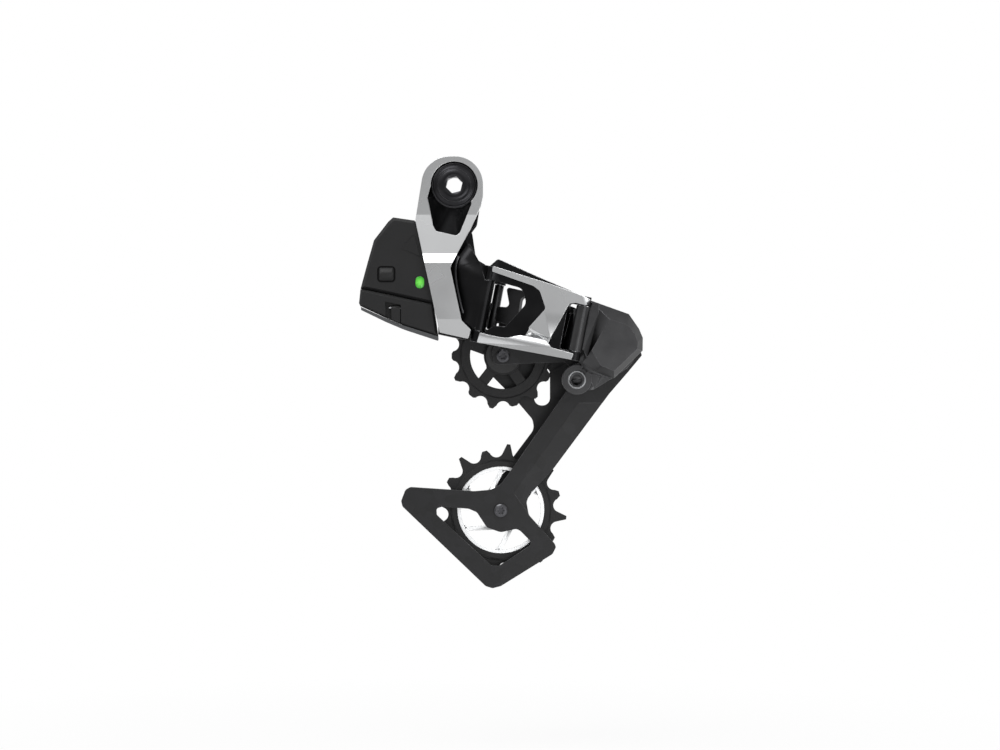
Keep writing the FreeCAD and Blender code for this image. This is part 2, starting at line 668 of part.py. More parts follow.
for name, place in (("near", "0"), ("far", "Sizes.link_length")):
    upright(link, name + "_room", "Sizes.lug_radius + 0.05", "-40", "40", x=place, cut=True)
link.Placement = link_placement(S["link_x"], S["link_y"], S["link_z"])

# Core of the outer link: the dark lining behind the bright face, with the pivot lugs
link_far = S["link_length"]
lining = new_body("link_lining")
slab(lining, "plate", [
    (0.0, 20.8, 1), (4.0, 25.5, 2), (30.0, 19.5, 8), (link_far, 13.8, 1), (link_far, -20.2, 1),
    (0.0, -20.3, 1), (0.0, -15.0, 1), (4.2, -14.6, 1), (8.6, -10.5, 1), (8.6, 13.3, 1), (0.0, 13.8),
], "-1.9", "2.0")
slab(lining, "opening", [
    (8.0, 13.3), (21.0, 12.2, 5), (25.0, 4.7, 4), (20.0, -3.0, 3), (15.6, -9.4, 1), (8.0, -10.2),
], "-5", "5", cut=True)
slab(lining, "far_notch", [
    (link_far - 8.0, 9.0, 1), (link_far - 8.0, -15.6, 1), (link_far + 4.5, -15.6), (link_far + 4.5, 9.0),
], "-5", "5", cut=True)
for name, low, high in (("high", "Sizes.upper_lug_low", "Sizes.upper_lug_high"),
                        ("low", "Sizes.lower_lug_low", "Sizes.lower_lug_high")):
    upright(lining, "near_" + name, "Sizes.lug_radius", low, high)
upright(lining, "far_high", "Sizes.lug_radius", "Sizes.far_lug_low", "Sizes.far_lug_high",
        x="Sizes.link_length")
upright(lining, "far_low", "Sizes.lug_radius", "Sizes.lower_lug_low + 0.2", "-15.8",
        x="Sizes.link_length")
upright(lining, "near_bore", "Sizes.pin_radius", "-40", "40", cut=True)
upright(lining, "far_bore", "Sizes.pin_radius", "-40", "40", x="Sizes.link_length", cut=True)
lining.Placement = link.Placement

# Pins of the outer link
near_pin = new_body("link_pin_near")
upright(near_pin, "pin", "Sizes.pin_radius", "Sizes.lower_lug_low + 0.4", "Sizes.upper_lug_high - 0.4")
near_pin.Placement = link.Placement
far_pin = new_body("link_pin_far")
upright(far_pin, "pin", "Sizes.pin_radius", "Sizes.lower_lug_low + 0.6", "Sizes.far_lug_high - 0.4",
        x="Sizes.link_length")
far_pin.Placement = link.Placement

# Inner link: a slim frame from barrel to barrel
inner = new_body("inner_link")
upright(inner, "near_barrel", "Sizes.inner_barrel_radius", "-Sizes.inner_barrel_half",
        "Sizes.inner_barrel_half")
slab(inner, "frame", [
    (4.6, 12.0, 1.5), (30.0, 11.0), (link_far - 6.5, 6.6), (link_far, 6.6), (link_far, -6.6),
    (link_far - 6.5, -6.6),
    (30.0, -10.5), (12.0, -11.0, 2),
    (9.8, -8.0, 1), (2.0, -7.0, 1), (-0.5, -7.0), (-0.5, 0.8), (2.0, 0.8, 1), (9.0, 1.4, 2),
], "-1.9", "1.9")
slab(inner, "window", [
    (14.0, 9.0, 3), (40.0, 7.0, 3), (46.0, 0.0, 3), (40.0, -7.0, 3), (15.0, -7.5, 3),
], "-5", "5", cut=True)
upright(inner, "far_barrel", "Sizes.inner_barrel_radius + 0.6", "-6.8", "6.8", x="Sizes.link_length")
upright(inner, "near_bore", "Sizes.pin_radius + 0.03", "-40", "40", cut=True)
upright(inner, "far_bore", "Sizes.pin_radius + 0.15", "-40", "40", x="Sizes.link_length", cut=True)
inner_x = S["link_x"] + S["inner_step"] * math.cos(tilt)
inner_y = S["link_y"] + S["inner_depth"]
inner_z = S["link_z"] - S["inner_step"] * math.sin(tilt)
inner.Placement = link_placement(inner_x, inner_y, inner_z)

# Sector gear on the inner link's barrel
sector = new_body("drive_sector")
sketch = new_sketch(sector, "teeth", "XY_Plane", z="-Sizes.gear_width/2")
hub = S["inner_barrel_radius"] + 0.02
arc_points = gear_points(int(S["gear_teeth"]), -3, 5, 180.0)
closing = []
for angle in (250, 220, 190, 160, 130, 110):
    turn = math.radians(angle)
    closing.append((hub * math.cos(turn), hub * math.sin(turn)))
draw(sketch, arc_points + closing)
extrude(sector, "teeth", sketch, "Sizes.gear_width", "XY_Plane")
upright(sector, "bore", "Sizes.inner_barrel_radius + 0.02", "-40", "40", cut=True)
sector.Placement = inner.Placement
inner_pin = new_body("inner_pin_near")
upright(inner_pin, "pin", "Sizes.pin_radius", "-Sizes.inner_barrel_half - 4.0",
        "Sizes.inner_barrel_half + 4.2")
inner_pin.Placement = inner.Placement

# Knuckle at the cage: a forged hood over the spring drum, its facets lofted to a flat face
FAR_IN_X = FAR_X + " + Sizes.inner_step*cos(Sizes.tilt)"
FAR_IN_Y = FAR_Y + " + Sizes.inner_depth"
FAR_IN_Z = FAR_Z + " - Sizes.inner_step*sin(Sizes.tilt)"
knuckle = new_body("cage_knuckle")
FAR = (FAR_X, FAR_Z)
HOOD_FRONT = FAR_Y + " - Sizes.hood_proud"
HOOD_RIM = HOOD_FRONT + " + Sizes.hood_facet"
slab(knuckle, "hood", [
    (9.0, 10.5), (25.8, 4.6), (31.2, -3.2), (33.2, -8.0), (33.1, -14.8), (18.0, -29.4),
    (13.8, -28.7), (8.1, -25.8), (8.4, -10.0), (9.0, -2.0),
], HOOD_RIM, "Sizes.drum_front + 4", at=FAR)
hood_rim = [
    (4.6, 12.2), (25.8, 4.6), (31.2, -3.2), (33.2, -8.0), (33.1, -14.8), (18.0, -29.4),
    (8.1, -25.8), (1.4, -21.4),
]
hood_face = [
    (15.4, 1.8), (24.6, -1.2), (28.6, -6.0), (30.2, -10.2), (30.0, -14.0), (17.8, -25.6),
    (10.6, -22.6), (5.8, -14.6),
]
rim_sketch = new_sketch(knuckle, "rim", "XZ_Plane", FAR_X, HOOD_RIM, FAR_Z)
draw(rim_sketch, hood_rim)
face_sketch = new_sketch(knuckle, "face", "XZ_Plane", FAR_X, HOOD_FRONT, FAR_Z)
draw(face_sketch, hood_face)
facets = knuckle.newObject("PartDesign::AdditiveLoft", "cage_knuckle_facets")
facets.Profile = rim_sketch
facets.Sections = [face_sketch]
facets.Ruled = True
disc(knuckle, "drum", "Sizes.drum_radius", "Sizes.drum_front", "Sizes.drum_back", at=CAGE)
slab(knuckle, "nose", [
    (-3.5, 7.4), (5.2, 7.7), (6.5, 10.6), (9.6, 10.4), (9.6, -19.0), (3.0, -18.0),
    (1.4, -14.4), (-4.5, -13.0),
], FAR_Y + " + 1.4", FAR_Y + " + 5.2", at=FAR)
leaning(knuckle, "barrel", "Sizes.lug_radius + 0.3", "-15.4", "Sizes.far_lug_low - 0.4",
        FAR_X, FAR_Y, FAR_Z)
for name, low, high in (("high", "7.2", "10.5"), ("low", "-11.0", "-7.2")):
    foot_x = FAR_X + " + (%s)*sin(Sizes.tilt)" % low
    foot_z = FAR_Z + " + (%s)*cos(Sizes.tilt)" % low
    web = new_sketch(knuckle, "web_" + name, "XY_Plane", foot_x, FAR_IN_Y, foot_z, lean="Sizes.tilt")
    draw(web, [(S["inner_step"], -3.0), (14.0, -3.0), (14.0, 3.0), (S["inner_step"], 3.0)])
    extrude(knuckle, "web_" + name, web, "(%s) - (%s)" % (high, low), "XY_Plane")
    leaning(knuckle, "lug_" + name, "3.4", low, high, FAR_IN_X, FAR_IN_Y, FAR_IN_Z)
disc(knuckle, "lock_boss", "Sizes.lock_boss_radius", "-6", "Sizes.drum_back", at=LOCK)
slab(knuckle, "flange", [
    (-6.0, -7.5, 3), (9.0, -5.4, 3), (22.0, 2.4), (14.0, 14.0), (-2.0, 8.0),
], "-2", "Sizes.drum_back", at=LOCK)
leaning(knuckle, "swing_room", "Sizes.inner_barrel_radius + 1.4", "-7.1", "7.1",
        FAR_IN_X, FAR_IN_Y, FAR_IN_Z, cut=True)
leaning(knuckle, "pin_bore", "Sizes.pin_radius + 0.03", "-40", "40", FAR_X, FAR_Y, FAR_Z, cut=True)
leaning(knuckle, "inner_bore", "Sizes.pin_radius", "-14", "14", FAR_IN_X, FAR_IN_Y, FAR_IN_Z, cut=True)
disc(knuckle, "spring_room", "Sizes.drum_radius - 2.5", "Sizes.drum_front + 2", "30", at=CAGE, cut=True)
disc(knuckle, "axle_bore", "Sizes.cage_axle_radius + Sizes.fit_gap", "Sizes.drum_front - 4",
     "Sizes.drum_front + 4", at=CAGE, cut=True)
disc(knuckle, "lock_bore", "Sizes.lock_button_radius + 0.1", "-10", "30", at=LOCK, cut=True)

far_inner_pin = new_body("inner_pin_far")
leaning(far_inner_pin, "pin", "Sizes.pin_radius", "-10.8", "10.3", FAR_IN_X, FAR_IN_Y, FAR_IN_Z)

# Lock button: a pin in the boss, pushed inboard to hold the cage
lock = new_body("cage_lock_button")
disc(lock, "pin", "Sizes.lock_button_radius", "-6.5", "Sizes.cage_plate_y - 0.6 - Sizes.lock_travel",
     at=LOCK)
disc(lock, "dish", "Sizes.lock_button_radius - 0.9", "-8", "-6.1", at=LOCK, cut=True)

# Cage axle, with the flange that carries the cage plate
axle = new_body("cage_axle")
disc(axle, "shaft", "Sizes.cage_axle_radius", "Sizes.drum_front - 0.5", "Sizes.cage_plate_y", at=CAGE)
disc(axle, "flange", "Sizes.drum_radius - 2.9", "Sizes.drum_back - 1.5", "Sizes.drum_back + 0.3", at=CAGE)
disc(axle, "boss", "12", "Sizes.drum_back + 0.3", "Sizes.cage_plate_y", at=CAGE)

# Clutch drum round the axle
clutch = new_body("cage_clutch")
disc(clutch, "drum", "Sizes.cage_axle_radius + 4", "Sizes.drum_front + 2.3", "Sizes.drum_front + 8",
     at=CAGE, bore="Sizes.cage_axle_radius + 0.02")

# Cage spring: a flat wound coil between the axle and the drum's wall
spring = new_body("cage_spring")
disc(spring, "coil", "Sizes.cage_axle_radius + 7.5", "Sizes.drum_front + 9",
     "Sizes.drum_back - 1.8", at=CAGE, bore="Sizes.cage_axle_radius + 4.2")

# Outer cage plate: two arms to the pulleys and a triangular guard round the lower one
plate = new_body("outer_cage_plate")
GX, GZ = S["guide_step_x"], S["guide_step_z"]
LX, LZ = S["lower_step_x"], S["lower_step_z"]
PLATE_FAR = "Sizes.cage_plate_y + Sizes.cage_plate_depth"
cage_outline = [
    (20.3, -5.7, 1), (12.4, -15.2, 8), (2.7, -26.4, 12), (LX + 28.8, LZ + 22.9, 12),
    (LX + 15.2, LZ + 8.1, 3), (LX + 14.0, LZ + 4.3, 3), (LX + 15.2, LZ - 2.5, 4),
    (LX + 29.2, LZ - 18.0, 2), (LX + 30.0, LZ - 19.9, 1.5), (LX + 28.1, LZ - 23.7, 3),
    (LX + 0.0, LZ - 41.1, 3), (LX - 4.5, LZ - 42.3, 2), (LX - 8.3, LZ - 41.1, 3),
    (LX - 53.4, LZ + 2.1, 2), (LX - 54.2, LZ + 5.1, 2), (LX - 51.9, LZ + 11.2, 3),
    (LX - 49.2, LZ + 12.7, 3), (LX - 14.4, LZ + 10.4, 8), (LX - 5.3, LZ + 11.2, 8),
    (LX + 0.0, LZ + 14.2, 6), (LX + 6.1, LZ + 22.5, 6), (-21.4, -26.0, 6), (-15.4, -14.8, 6),
    (-21.6, -9.2, 2), (GX - 5.1, GZ - 4.8, 3), (GX - 6.6, GZ + 6.0, 6), (GX + 4.0, GZ + 9.0, 3),
    (-16.0, 4.0, 6), (-10.0, 13.5, 10), (10.0, 14.5, 12), (18.0, 4.0, 3),
]
plate_pad = slab(plate, "plate", cage_outline, "Sizes.cage_plate_y", PLATE_FAR, at=CAGE)
slab(plate, "window", [
    (LX - 35.0, LZ + 1.0, 1.5), (LX - 31.8, LZ + 2.1, 2), (LX - 17.4, LZ + 0.9, 4),
    (LX - 13.0, LZ - 1.0, 3), (LX - 7.6, LZ - 9.3, 5), (LX + 0.0, LZ - 11.9, 5),
    (LX + 8.4, LZ - 10.0, 3), (LX + 10.6, LZ - 11.1, 2), (LX + 16.3, LZ - 16.9, 1),
    (LX + 15.9, LZ - 19.1, 2), (LX - 0.8, LZ - 30.1, 2), (LX - 5.3, LZ - 29.7, 2),
    (LX - 34.8, LZ - 2.5, 1.5),
], "-30", "60", at=CAGE, cut=True)
facet_edge = [(-49.8, -79.6), (-15.3, -31.5), (4.0, -31.5), (-39.5, -94.2)]
facet_floor = [(-43.4, -88.7), (-2.0, -31.5), (4.0, -31.5), (-39.5, -94.2)]
edge_sketch = new_sketch(plate, "facet_edge", "XZ_Plane", CAGE[0], "Sizes.cage_plate_y - 0.1", CAGE[1])
draw(edge_sketch, facet_edge)
floor_sketch = new_sketch(plate, "facet_floor", "XZ_Plane", CAGE[0],
                          "Sizes.cage_plate_y + Sizes.cage_facet", CAGE[1])
draw(floor_sketch, facet_floor)
arm_facet = plate.newObject("PartDesign::SubtractiveLoft", "outer_cage_plate_arm_facet")
arm_facet.Profile = edge_sketch
arm_facet.Sections = [floor_sketch]
arm_facet.Ruled = True
disc(plate, "axle_hole", "6", "0", "40", at=CAGE, cut=True)
for name, at in (("guide", GUIDE), ("lower", LOWER)):
    disc(plate, name + "_hole", "Sizes.pulley_bolt_radius + 0.02", "0", "40", at=at, cut=True)

# Inner cage plate
inner_plate = new_body("inner_cage_plate")
INNER_NEAR = PLATE_FAR + " + Sizes.cage_gap"
inner_outline = [
    (GX + 0.0, GZ + 10.0, 6), (GX - 10.0, GZ + 4.0, 6), (GX - 9.0, GZ - 8.0, 5),
    (GX + 7.0, GZ - 24.0, 5), (GX + 16.1, GZ - 34.7, 5), (GX + 17.1, GZ - 40.0, 6),
    (LX - 8.0, LZ + 9.0, 4), (LX - 10.5, LZ + 0.0, 5), (LX - 7.0, LZ - 8.5, 5),
    (LX + 7.0, LZ - 8.5, 5), (LX + 12.0, LZ + 2.0, 5), (LX + 26.0, LZ + 22.0, 8), (-8.0, -28.0, 10),
    (-14.0, -6.0, 6), (-22.0, 2.0, 4),
]
slab(inner_plate, "plate", inner_outline, INNER_NEAR, INNER_NEAR + " + Sizes.inner_plate_depth", at=CAGE)
slab(inner_plate, "slot", [
    (-38.0, -12.5, 3), (-38.0, -33.0, 4), (-29.4, -33.0, 4), (-29.4, -12.5, 3),
], "0", "60", at=CAGE, cut=True)
for name, at in (("guide", GUIDE), ("lower", LOWER)):
    disc(inner_plate, name + "_hole", "Sizes.pulley_bolt_radius + 0.02", "0", "60", at=at, cut=True)


def pulley_axle(name, at):
    """Bolt, sleeve and dust caps that hold one pulley between the plates."""
    pulley_bolt = new_body(name + "_bolt")
    disc(pulley_bolt, "head", "Sizes.pulley_bolt_head", "Sizes.cage_plate_y - 1.8", "Sizes.cage_plate_y",
         at=at)
    disc(pulley_bolt, "stem", "Sizes.pulley_bolt_radius", "Sizes.cage_plate_y",
         INNER_NEAR + " + Sizes.inner_plate_depth", at=at)
    disc(pulley_bolt, "socket", "1.4", "0", "Sizes.cage_plate_y - 0.4", at=at, cut=True)
    sleeve = new_body(name + "_sleeve")
    disc(sleeve, "tube", "Sizes.sleeve_radius", PLATE_FAR, INNER_NEAR, at=at,
         bore="Sizes.pulley_bolt_radius + 0.02")
    caps = new_body(name + "_caps")
    disc(caps, "outer", "Sizes.cap_radius", PLATE_FAR, PLATE_FAR + " + 1.6", at=at,
         bore="Sizes.sleeve_radius + 0.02")
    disc(caps, "inner", "Sizes.cap_radius", INNER_NEAR + " - 1.6", INNER_NEAR, at=at,
         bore="Sizes.sleeve_radius + 0.02")
    bearing = new_body(name + "_bearing")
    disc(bearing, "ring", "Sizes.bearing_radius", BEARING_NEAR, BEARING_NEAR + " + Sizes.bearing_width",
         at=at, bore="Sizes.sleeve_radius + Sizes.fit_gap")


MIDDLE = "(" + PLATE_FAR + " + Sizes.cage_gap/2)"
BEARING_NEAR = MIDDLE + " - Sizes.bearing_width/2"
pulley_axle("guide_pulley", GUIDE)
pulley_axle("lower_pulley", LOWER)


def pulley_radius(teeth):
    """The pitch radius of a chain pulley."""
    return S["chain_pitch"] / (2 * math.sin(math.pi / teeth))


def tooth(middle, root, tip, root_half, tip_half, gullet=0):
    """Four corners of one tooth, with its half widths and the rounding at its root."""
    points = []
    for half_width, reach, rounding in ((-root_half, root, gullet), (-tip_half, tip, 0), (tip_half, tip, 0),
                                        (root_half, root, gullet)):
        angle = math.radians(middle) + half_width / reach
        points.append((reach * math.cos(angle), reach * math.sin(angle), rounding))
    return points


def toothed(body, name, teeth, first, tall, short, root, inner, at):
    """A toothed rim: tall slim teeth and short wide ones in turn."""
    points = []
    for k in range(teeth):
        middle = first + 360.0 * k / teeth
        if k % 2:
            points += tooth(middle, root, short, 3.2, 1.2, 2.0)
        else:
            points += tooth(middle, root, tall, 3.0, 0.8, 2.0)
    sketch = new_sketch(body, name, "XZ_Plane", x=at[0], y=MIDDLE + " - Sizes.tooth_width/2", z=at[1])
    draw(sketch, points)
    draw_circle(sketch, inner)
    extrude(body, name, sketch, "Sizes.tooth_width", "XZ_Plane")
    sketch = new_sketch(body, name + "_wide", "XZ_Plane", x=at[0],
                        y=MIDDLE + " - Sizes.wide_tooth_width/2", z=at[1])
    middle = first + 360.0 / teeth
    corners = tooth(middle, root - 2.0, short - 1.2, 2.2, 1.4)
    draw(sketch, corners)
    wide = extrude(body, name + "_wide", sketch, "Sizes.wide_tooth_width", "XZ_Plane")
    pattern = body.newObject("PartDesign::PolarPattern", body.Name + "_" + name + "_pattern")
    pattern.Originals = [wide]
    pattern.Axis = (sketch, ["N_Axis"])
    pattern.Angle = 360
    pattern.Occurrences = teeth // 2
    body.Tip = pattern
    return pattern


# Guide pulley: a rim on five spokes
guide = new_body("guide_pulley")
guide_root = pulley_radius(S["guide_teeth"]) - 3.85
toothed(guide, "teeth", int(S["guide_teeth"]), 0.0, guide_root + 4.6, guide_root + 3.4, guide_root,
        "20", GUIDE)
rim_half = S["rim_width"] / 2
turned(guide, "rim", [
    (18.0, cage_mid - rim_half), (22.5, cage_mid - rim_half), (23.4, cage_mid - 1.0),
    (23.4, cage_mid + 1.0), (22.5, cage_mid + rim_half), (18.0, cage_mid + rim_half),
], at=GUIDE)
disc(guide, "hub", "Sizes.bearing_radius + 3", MIDDLE + " - Sizes.bearing_width/2",
     MIDDLE + " + Sizes.bearing_width/2", at=GUIDE)
for k in range(5):
    turn = math.radians(16 + 72 * k)
    along = V(math.cos(turn), math.sin(turn), 0)
    side = V(-along.y, along.x, 0)
    corners = []
    for reach, half_width in ((8.5, -3.4), (19.0, -2.6), (19.0, 2.6), (8.5, 3.4)):
        spot = along * reach + side * half_width
        corners.append((spot.x, spot.y))
    slab(guide, "spoke_%d" % k, corners, MIDDLE + " - 1.6", MIDDLE + " + 1.6", at=GUIDE)
disc(guide, "bearing_seat", "Sizes.bearing_radius + 0.02", "0", "60", at=GUIDE, cut=True)

# Lower pulley: a toothed ring that can slip round a bright spoked spider
spider = new_body("lower_pulley_spider")
spider_r = S["spider_radius"]
spider_half = S["spider_width"] / 2
turned(spider, "rim", [
    (spider_r - 1.9, cage_mid - spider_half), (spider_r, cage_mid - spider_half),
    (spider_r, cage_mid + spider_half), (spider_r - 1.9, cage_mid + spider_half),
], at=LOWER)
disc(spider, "hub", "Sizes.bearing_radius + 3.2", BEARING_NEAR, BEARING_NEAR + " + Sizes.bearing_width",
     at=LOWER)
spoke_half = S["spoke_width"] / 2
tangent = S["bearing_radius"] + 2.0
for k in range(6):
    turn = math.radians(2 + 60 * k)
    along = V(math.cos(turn), math.sin(turn), 0)
    side = V(-along.y, along.x, 0)
    corners = []
    for reach, half_width in ((-1.0, -spoke_half), (18.0, -spoke_half), (19.6, -2.0), (20.6, -2.2),
                              (20.2, 2.2), (19.0, 2.0), (17.6, spoke_half), (-1.0, spoke_half)):
        spot = along * reach + side * (half_width + tangent)
        corners.append((spot.x, spot.y))
    slab(spider, "spoke_%d" % k, corners, MIDDLE + " - 1.3", MIDDLE + " + 1.3", at=LOWER)
disc(spider, "bearing_seat", "Sizes.bearing_radius + 0.02", "0", "60", at=LOWER, cut=True)

ring_body = new_body("lower_pulley_ring")
lower_root = pulley_radius(S["lower_teeth"]) - 3.85
toothed(ring_body, "teeth", int(S["lower_teeth"]), -6.9, lower_root + 7.3, lower_root + 4.5, lower_root,
        "Sizes.spider_radius + 1.8", LOWER)
turned(ring_body, "rim", [
    (spider_r + 0.06, cage_mid - rim_half), (spider_r + 2.9, cage_mid - rim_half),
    (spider_r + 3.9, cage_mid - 1.0), (spider_r + 3.9, cage_mid + 1.0),
    (spider_r + 2.9, cage_mid + rim_half), (spider_r + 0.06, cage_mid + rim_half),
], at=LOWER)

# Every feature is sound, and every cut removed something, before anything is written
doc.recompute()
faults = []
for item in doc.Objects:
    if "Invalid" in item.State or "Error" in item.State:
        faults.append("failed: " + item.Name)
    elif item.TypeId in ("PartDesign::Pocket", "PartDesign::Groove"):
        if item.Shape.Volume > item.BaseFeature.Shape.Volume - 0.001:
            faults.append("cuts nothing: " + item.Name)
if faults:
    raise RuntimeError(", ".join(faults))
os.makedirs("parts", exist_ok=True)
for body in bodies:
    if body.Shape.isNull() or not body.Shape.isValid():
        raise RuntimeError("no valid solid: " + body.Label)
    print(body.Label, len(body.Shape.Solids), round(body.Shape.Volume, 1))
    body.Shape.exportStep("parts/" + body.Label + ".step")
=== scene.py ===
import json
import math

import bmesh
import bpy
from mathutils import Matrix, Vector
from mathutils.bvhtree import BVHTree

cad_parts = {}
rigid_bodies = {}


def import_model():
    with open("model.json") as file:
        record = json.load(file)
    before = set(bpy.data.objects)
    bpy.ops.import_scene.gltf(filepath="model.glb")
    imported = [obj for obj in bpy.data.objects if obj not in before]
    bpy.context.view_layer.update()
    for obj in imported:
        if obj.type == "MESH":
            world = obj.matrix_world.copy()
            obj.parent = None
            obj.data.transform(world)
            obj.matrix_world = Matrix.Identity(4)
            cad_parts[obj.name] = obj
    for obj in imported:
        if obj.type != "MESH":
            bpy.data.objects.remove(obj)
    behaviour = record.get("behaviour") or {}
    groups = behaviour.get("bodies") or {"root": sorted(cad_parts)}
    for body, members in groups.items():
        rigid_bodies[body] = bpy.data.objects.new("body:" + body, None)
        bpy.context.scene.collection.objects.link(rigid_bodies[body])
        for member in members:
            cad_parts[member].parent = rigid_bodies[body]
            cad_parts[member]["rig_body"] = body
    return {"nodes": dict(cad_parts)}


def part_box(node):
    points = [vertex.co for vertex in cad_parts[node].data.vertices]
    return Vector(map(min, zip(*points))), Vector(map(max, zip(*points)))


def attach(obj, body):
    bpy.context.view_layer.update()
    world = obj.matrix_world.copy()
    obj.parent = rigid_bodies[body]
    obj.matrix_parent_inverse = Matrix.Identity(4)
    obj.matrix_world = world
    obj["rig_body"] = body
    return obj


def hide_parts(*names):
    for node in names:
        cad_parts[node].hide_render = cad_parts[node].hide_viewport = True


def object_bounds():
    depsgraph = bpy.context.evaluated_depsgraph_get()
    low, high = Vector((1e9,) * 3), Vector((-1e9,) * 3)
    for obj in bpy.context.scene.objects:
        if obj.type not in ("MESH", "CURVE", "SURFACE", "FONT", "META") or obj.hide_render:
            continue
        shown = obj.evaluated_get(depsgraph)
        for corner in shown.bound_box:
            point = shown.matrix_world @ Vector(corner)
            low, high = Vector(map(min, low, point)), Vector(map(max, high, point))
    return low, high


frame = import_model()
cad_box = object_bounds()

# Camera: a long lens, level with the part and square to its drive side, as in the photograph.
# A pixel of the photograph is 0.54 mm at the part, worked out from the chain's pitch.
PIXEL = 0.00054
AXLE_PIXEL = (454.5, 186.0)
IMAGE_SIZE = (1000, 750)
LENS = 100
SENSOR = 36
distance = PIXEL * IMAGE_SIZE[0] * LENS / SENSOR
camera = bpy.data.objects.new("camera", bpy.data.cameras.new("camera"))
camera.data.lens = LENS
camera.data.sensor_width = SENSOR
camera.location = (
    (IMAGE_SIZE[0] / 2 - AXLE_PIXEL[0]) * PIXEL,
    -distance,
    (AXLE_PIXEL[1] - IMAGE_SIZE[1] / 2) * PIXEL,
)
camera.rotation_euler = (math.radians(90), 0, 0)
bpy.context.scene.collection.objects.link(camera)
bpy.context.scene.camera = camera
bpy.context.scene.view_settings.view_transform = "Standard"


def linear(code):
    """An sRGB hex colour as the linear values that a shader takes."""
    parts = [int(code[i:i + 2], 16) / 255 for i in (1, 3, 5)]
    return tuple(c / 12.92 if c <= 0.04045 else ((c + 0.055) / 1.055) ** 2.4 for c in parts) + (1,)


def add(tree, kind, settings=None, links=None):
    """Adds one node, gives its sockets and own settings their values, and links its sockets."""
    made = tree.nodes.new("ShaderNode" + kind)
    for key, value in (settings or {}).items():
        if isinstance(key, int) or key in made.inputs:
            made.inputs[key].default_value = value
        else:
            setattr(made, key, value)
    for key, source in (links or {}).items():
        tree.links.new(source, made.inputs[key])
    return made


# Stage: a pale paper floor under the part. To the camera, and in reflections and glass, most of
# it is plain white near the part, so that the part's shadow still shows, and all of it further off.
FLOOR_DROP = 0.09
FLOOR_SIZE = 3.0
FLOOR_PALE = "#f4f4f4"
FLOOR_WHITE_NEAR = 0.8
FLOOR_NEAR, FLOOR_FAR = 0.15, 0.5
paper = bpy.data.materials.new("pale_paper_floor")
paper.use_nodes = True
tree = paper.node_tree
paper_shader = tree.nodes["Principled BSDF"]
paper_shader.inputs["Base Color"].default_value = linear(FLOOR_PALE)
paper_shader.inputs["Roughness"].default_value = 0.9


def seen_rays(tree):
    """1 for the camera's rays, reflections and rays through glass, and 0 for all other light."""
    path = add(tree, "LightPath")
    seen = add(tree, "Math", {"operation": "MAXIMUM"},
               {0: path.outputs["Is Camera Ray"], 1: path.outputs["Is Glossy Ray"]})
    seen = add(tree, "Math", {"operation": "MAXIMUM"},
               {0: seen.outputs[0], 1: path.outputs["Is Transmission Ray"]})
    return seen.outputs[0]


reach = add(tree, "VectorMath", {"operation": "LENGTH"}, {0: add(tree, "TexCoord").outputs["Object"]})
whiteness = add(tree, "MapRange", {"From Min": FLOOR_NEAR, "From Max": FLOOR_FAR,
                                   "To Min": FLOOR_WHITE_NEAR, "To Max": 1.0},
                {"Value": reach.outputs["Value"]})
share = add(tree, "Math", {"operation": "MULTIPLY"}, {0: whiteness.outputs[0], 1: seen_rays(tree)})
white = add(tree, "Emission", {"Color": (1, 1, 1, 1), "Strength": 1.0})
both = add(tree, "MixShader", links={0: share.outputs[0], 1: paper_shader.outputs[0], 2: white.outputs[0]})
tree.links.new(both.outputs[0], tree.nodes["Material Output"].inputs["Surface"])
floor_mesh = bpy.data.meshes.new("floor")
made = bmesh.new()
bmesh.ops.create_grid(made, x_segments=1, y_segments=1, size=FLOOR_SIZE / 2)
bmesh.ops.translate(made, verts=made.verts, vec=(0, 0, cad_box[0].z - FLOOR_DROP))
made.to_mesh(floor_mesh)
made.free()
floor_mesh.materials.append(paper)
floor = bpy.data.objects.new("floor", floor_mesh)
bpy.context.scene.collection.objects.link(floor)

# Light: a white room that is greyer in front of the part, at its own height, so that flat metal
# shows its folds. A soft box stands high on the left, a low one on the right and one behind.
ROOM_LIGHT = 0.42
FRONT_SHADE = 0.25
FRONT_HEIGHT = 0.4
AIM = Vector((0.025, 0, -0.1))
world = bpy.data.worlds.new("white_room")
bpy.context.scene.world = world
world.use_nodes = True
tree = world.node_tree
look = add(tree, "SeparateXYZ", links={0: add(tree, "TexCoord").outputs["Generated"]})
level = add(tree, "Math", {"operation": "ABSOLUTE"}, {0: look.outputs["Z"]})
raised = add(tree, "MapRange", {"From Max": FRONT_HEIGHT, "To Min": FRONT_SHADE, "To Max": 1.0},
             {"Value": level.outputs[0]})
behind = add(tree, "MapRange", {"From Min": -0.5, "From Max": 0.0}, {"Value": look.outputs["Y"]})
wall = add(tree, "Math", {"operation": "MAXIMUM"}, {0: raised.outputs[0], 1: behind.outputs[0]})
clear = add(tree, "Math", {"operation": "MAXIMUM"},
            {0: wall.outputs[0], 1: add(tree, "LightPath").outputs["Is Camera Ray"]})
strength = add(tree, "MapRange", {"To Min": ROOM_LIGHT},
               {"Value": seen_rays(tree), "To Max": clear.outputs[0]})
tree.nodes["Background"].inputs["Color"].default_value = (1, 1, 1, 1)
tree.links.new(strength.outputs[0], tree.nodes["Background"].inputs["Strength"])
for name, place, width, power in (
    ("soft_box_high", (-0.25, -0.45, 0.75), 0.6, 5.0),
    ("soft_box_low", (0.25, -0.5, -0.28), 0.35, 1.4),
    ("soft_box_behind", (0.3, 0.8, 0.4), 0.6, 3.0),
):
    lamp = bpy.data.objects.new(name, bpy.data.lights.new(name, "AREA"))
    lamp.data.size = width
    lamp.data.energy = power
    lamp.location = place
    lamp.rotation_euler = (AIM - Vector(place)).to_track_quat("-Z", "Y").to_euler()
    bpy.context.scene.collection.objects.link(lamp)

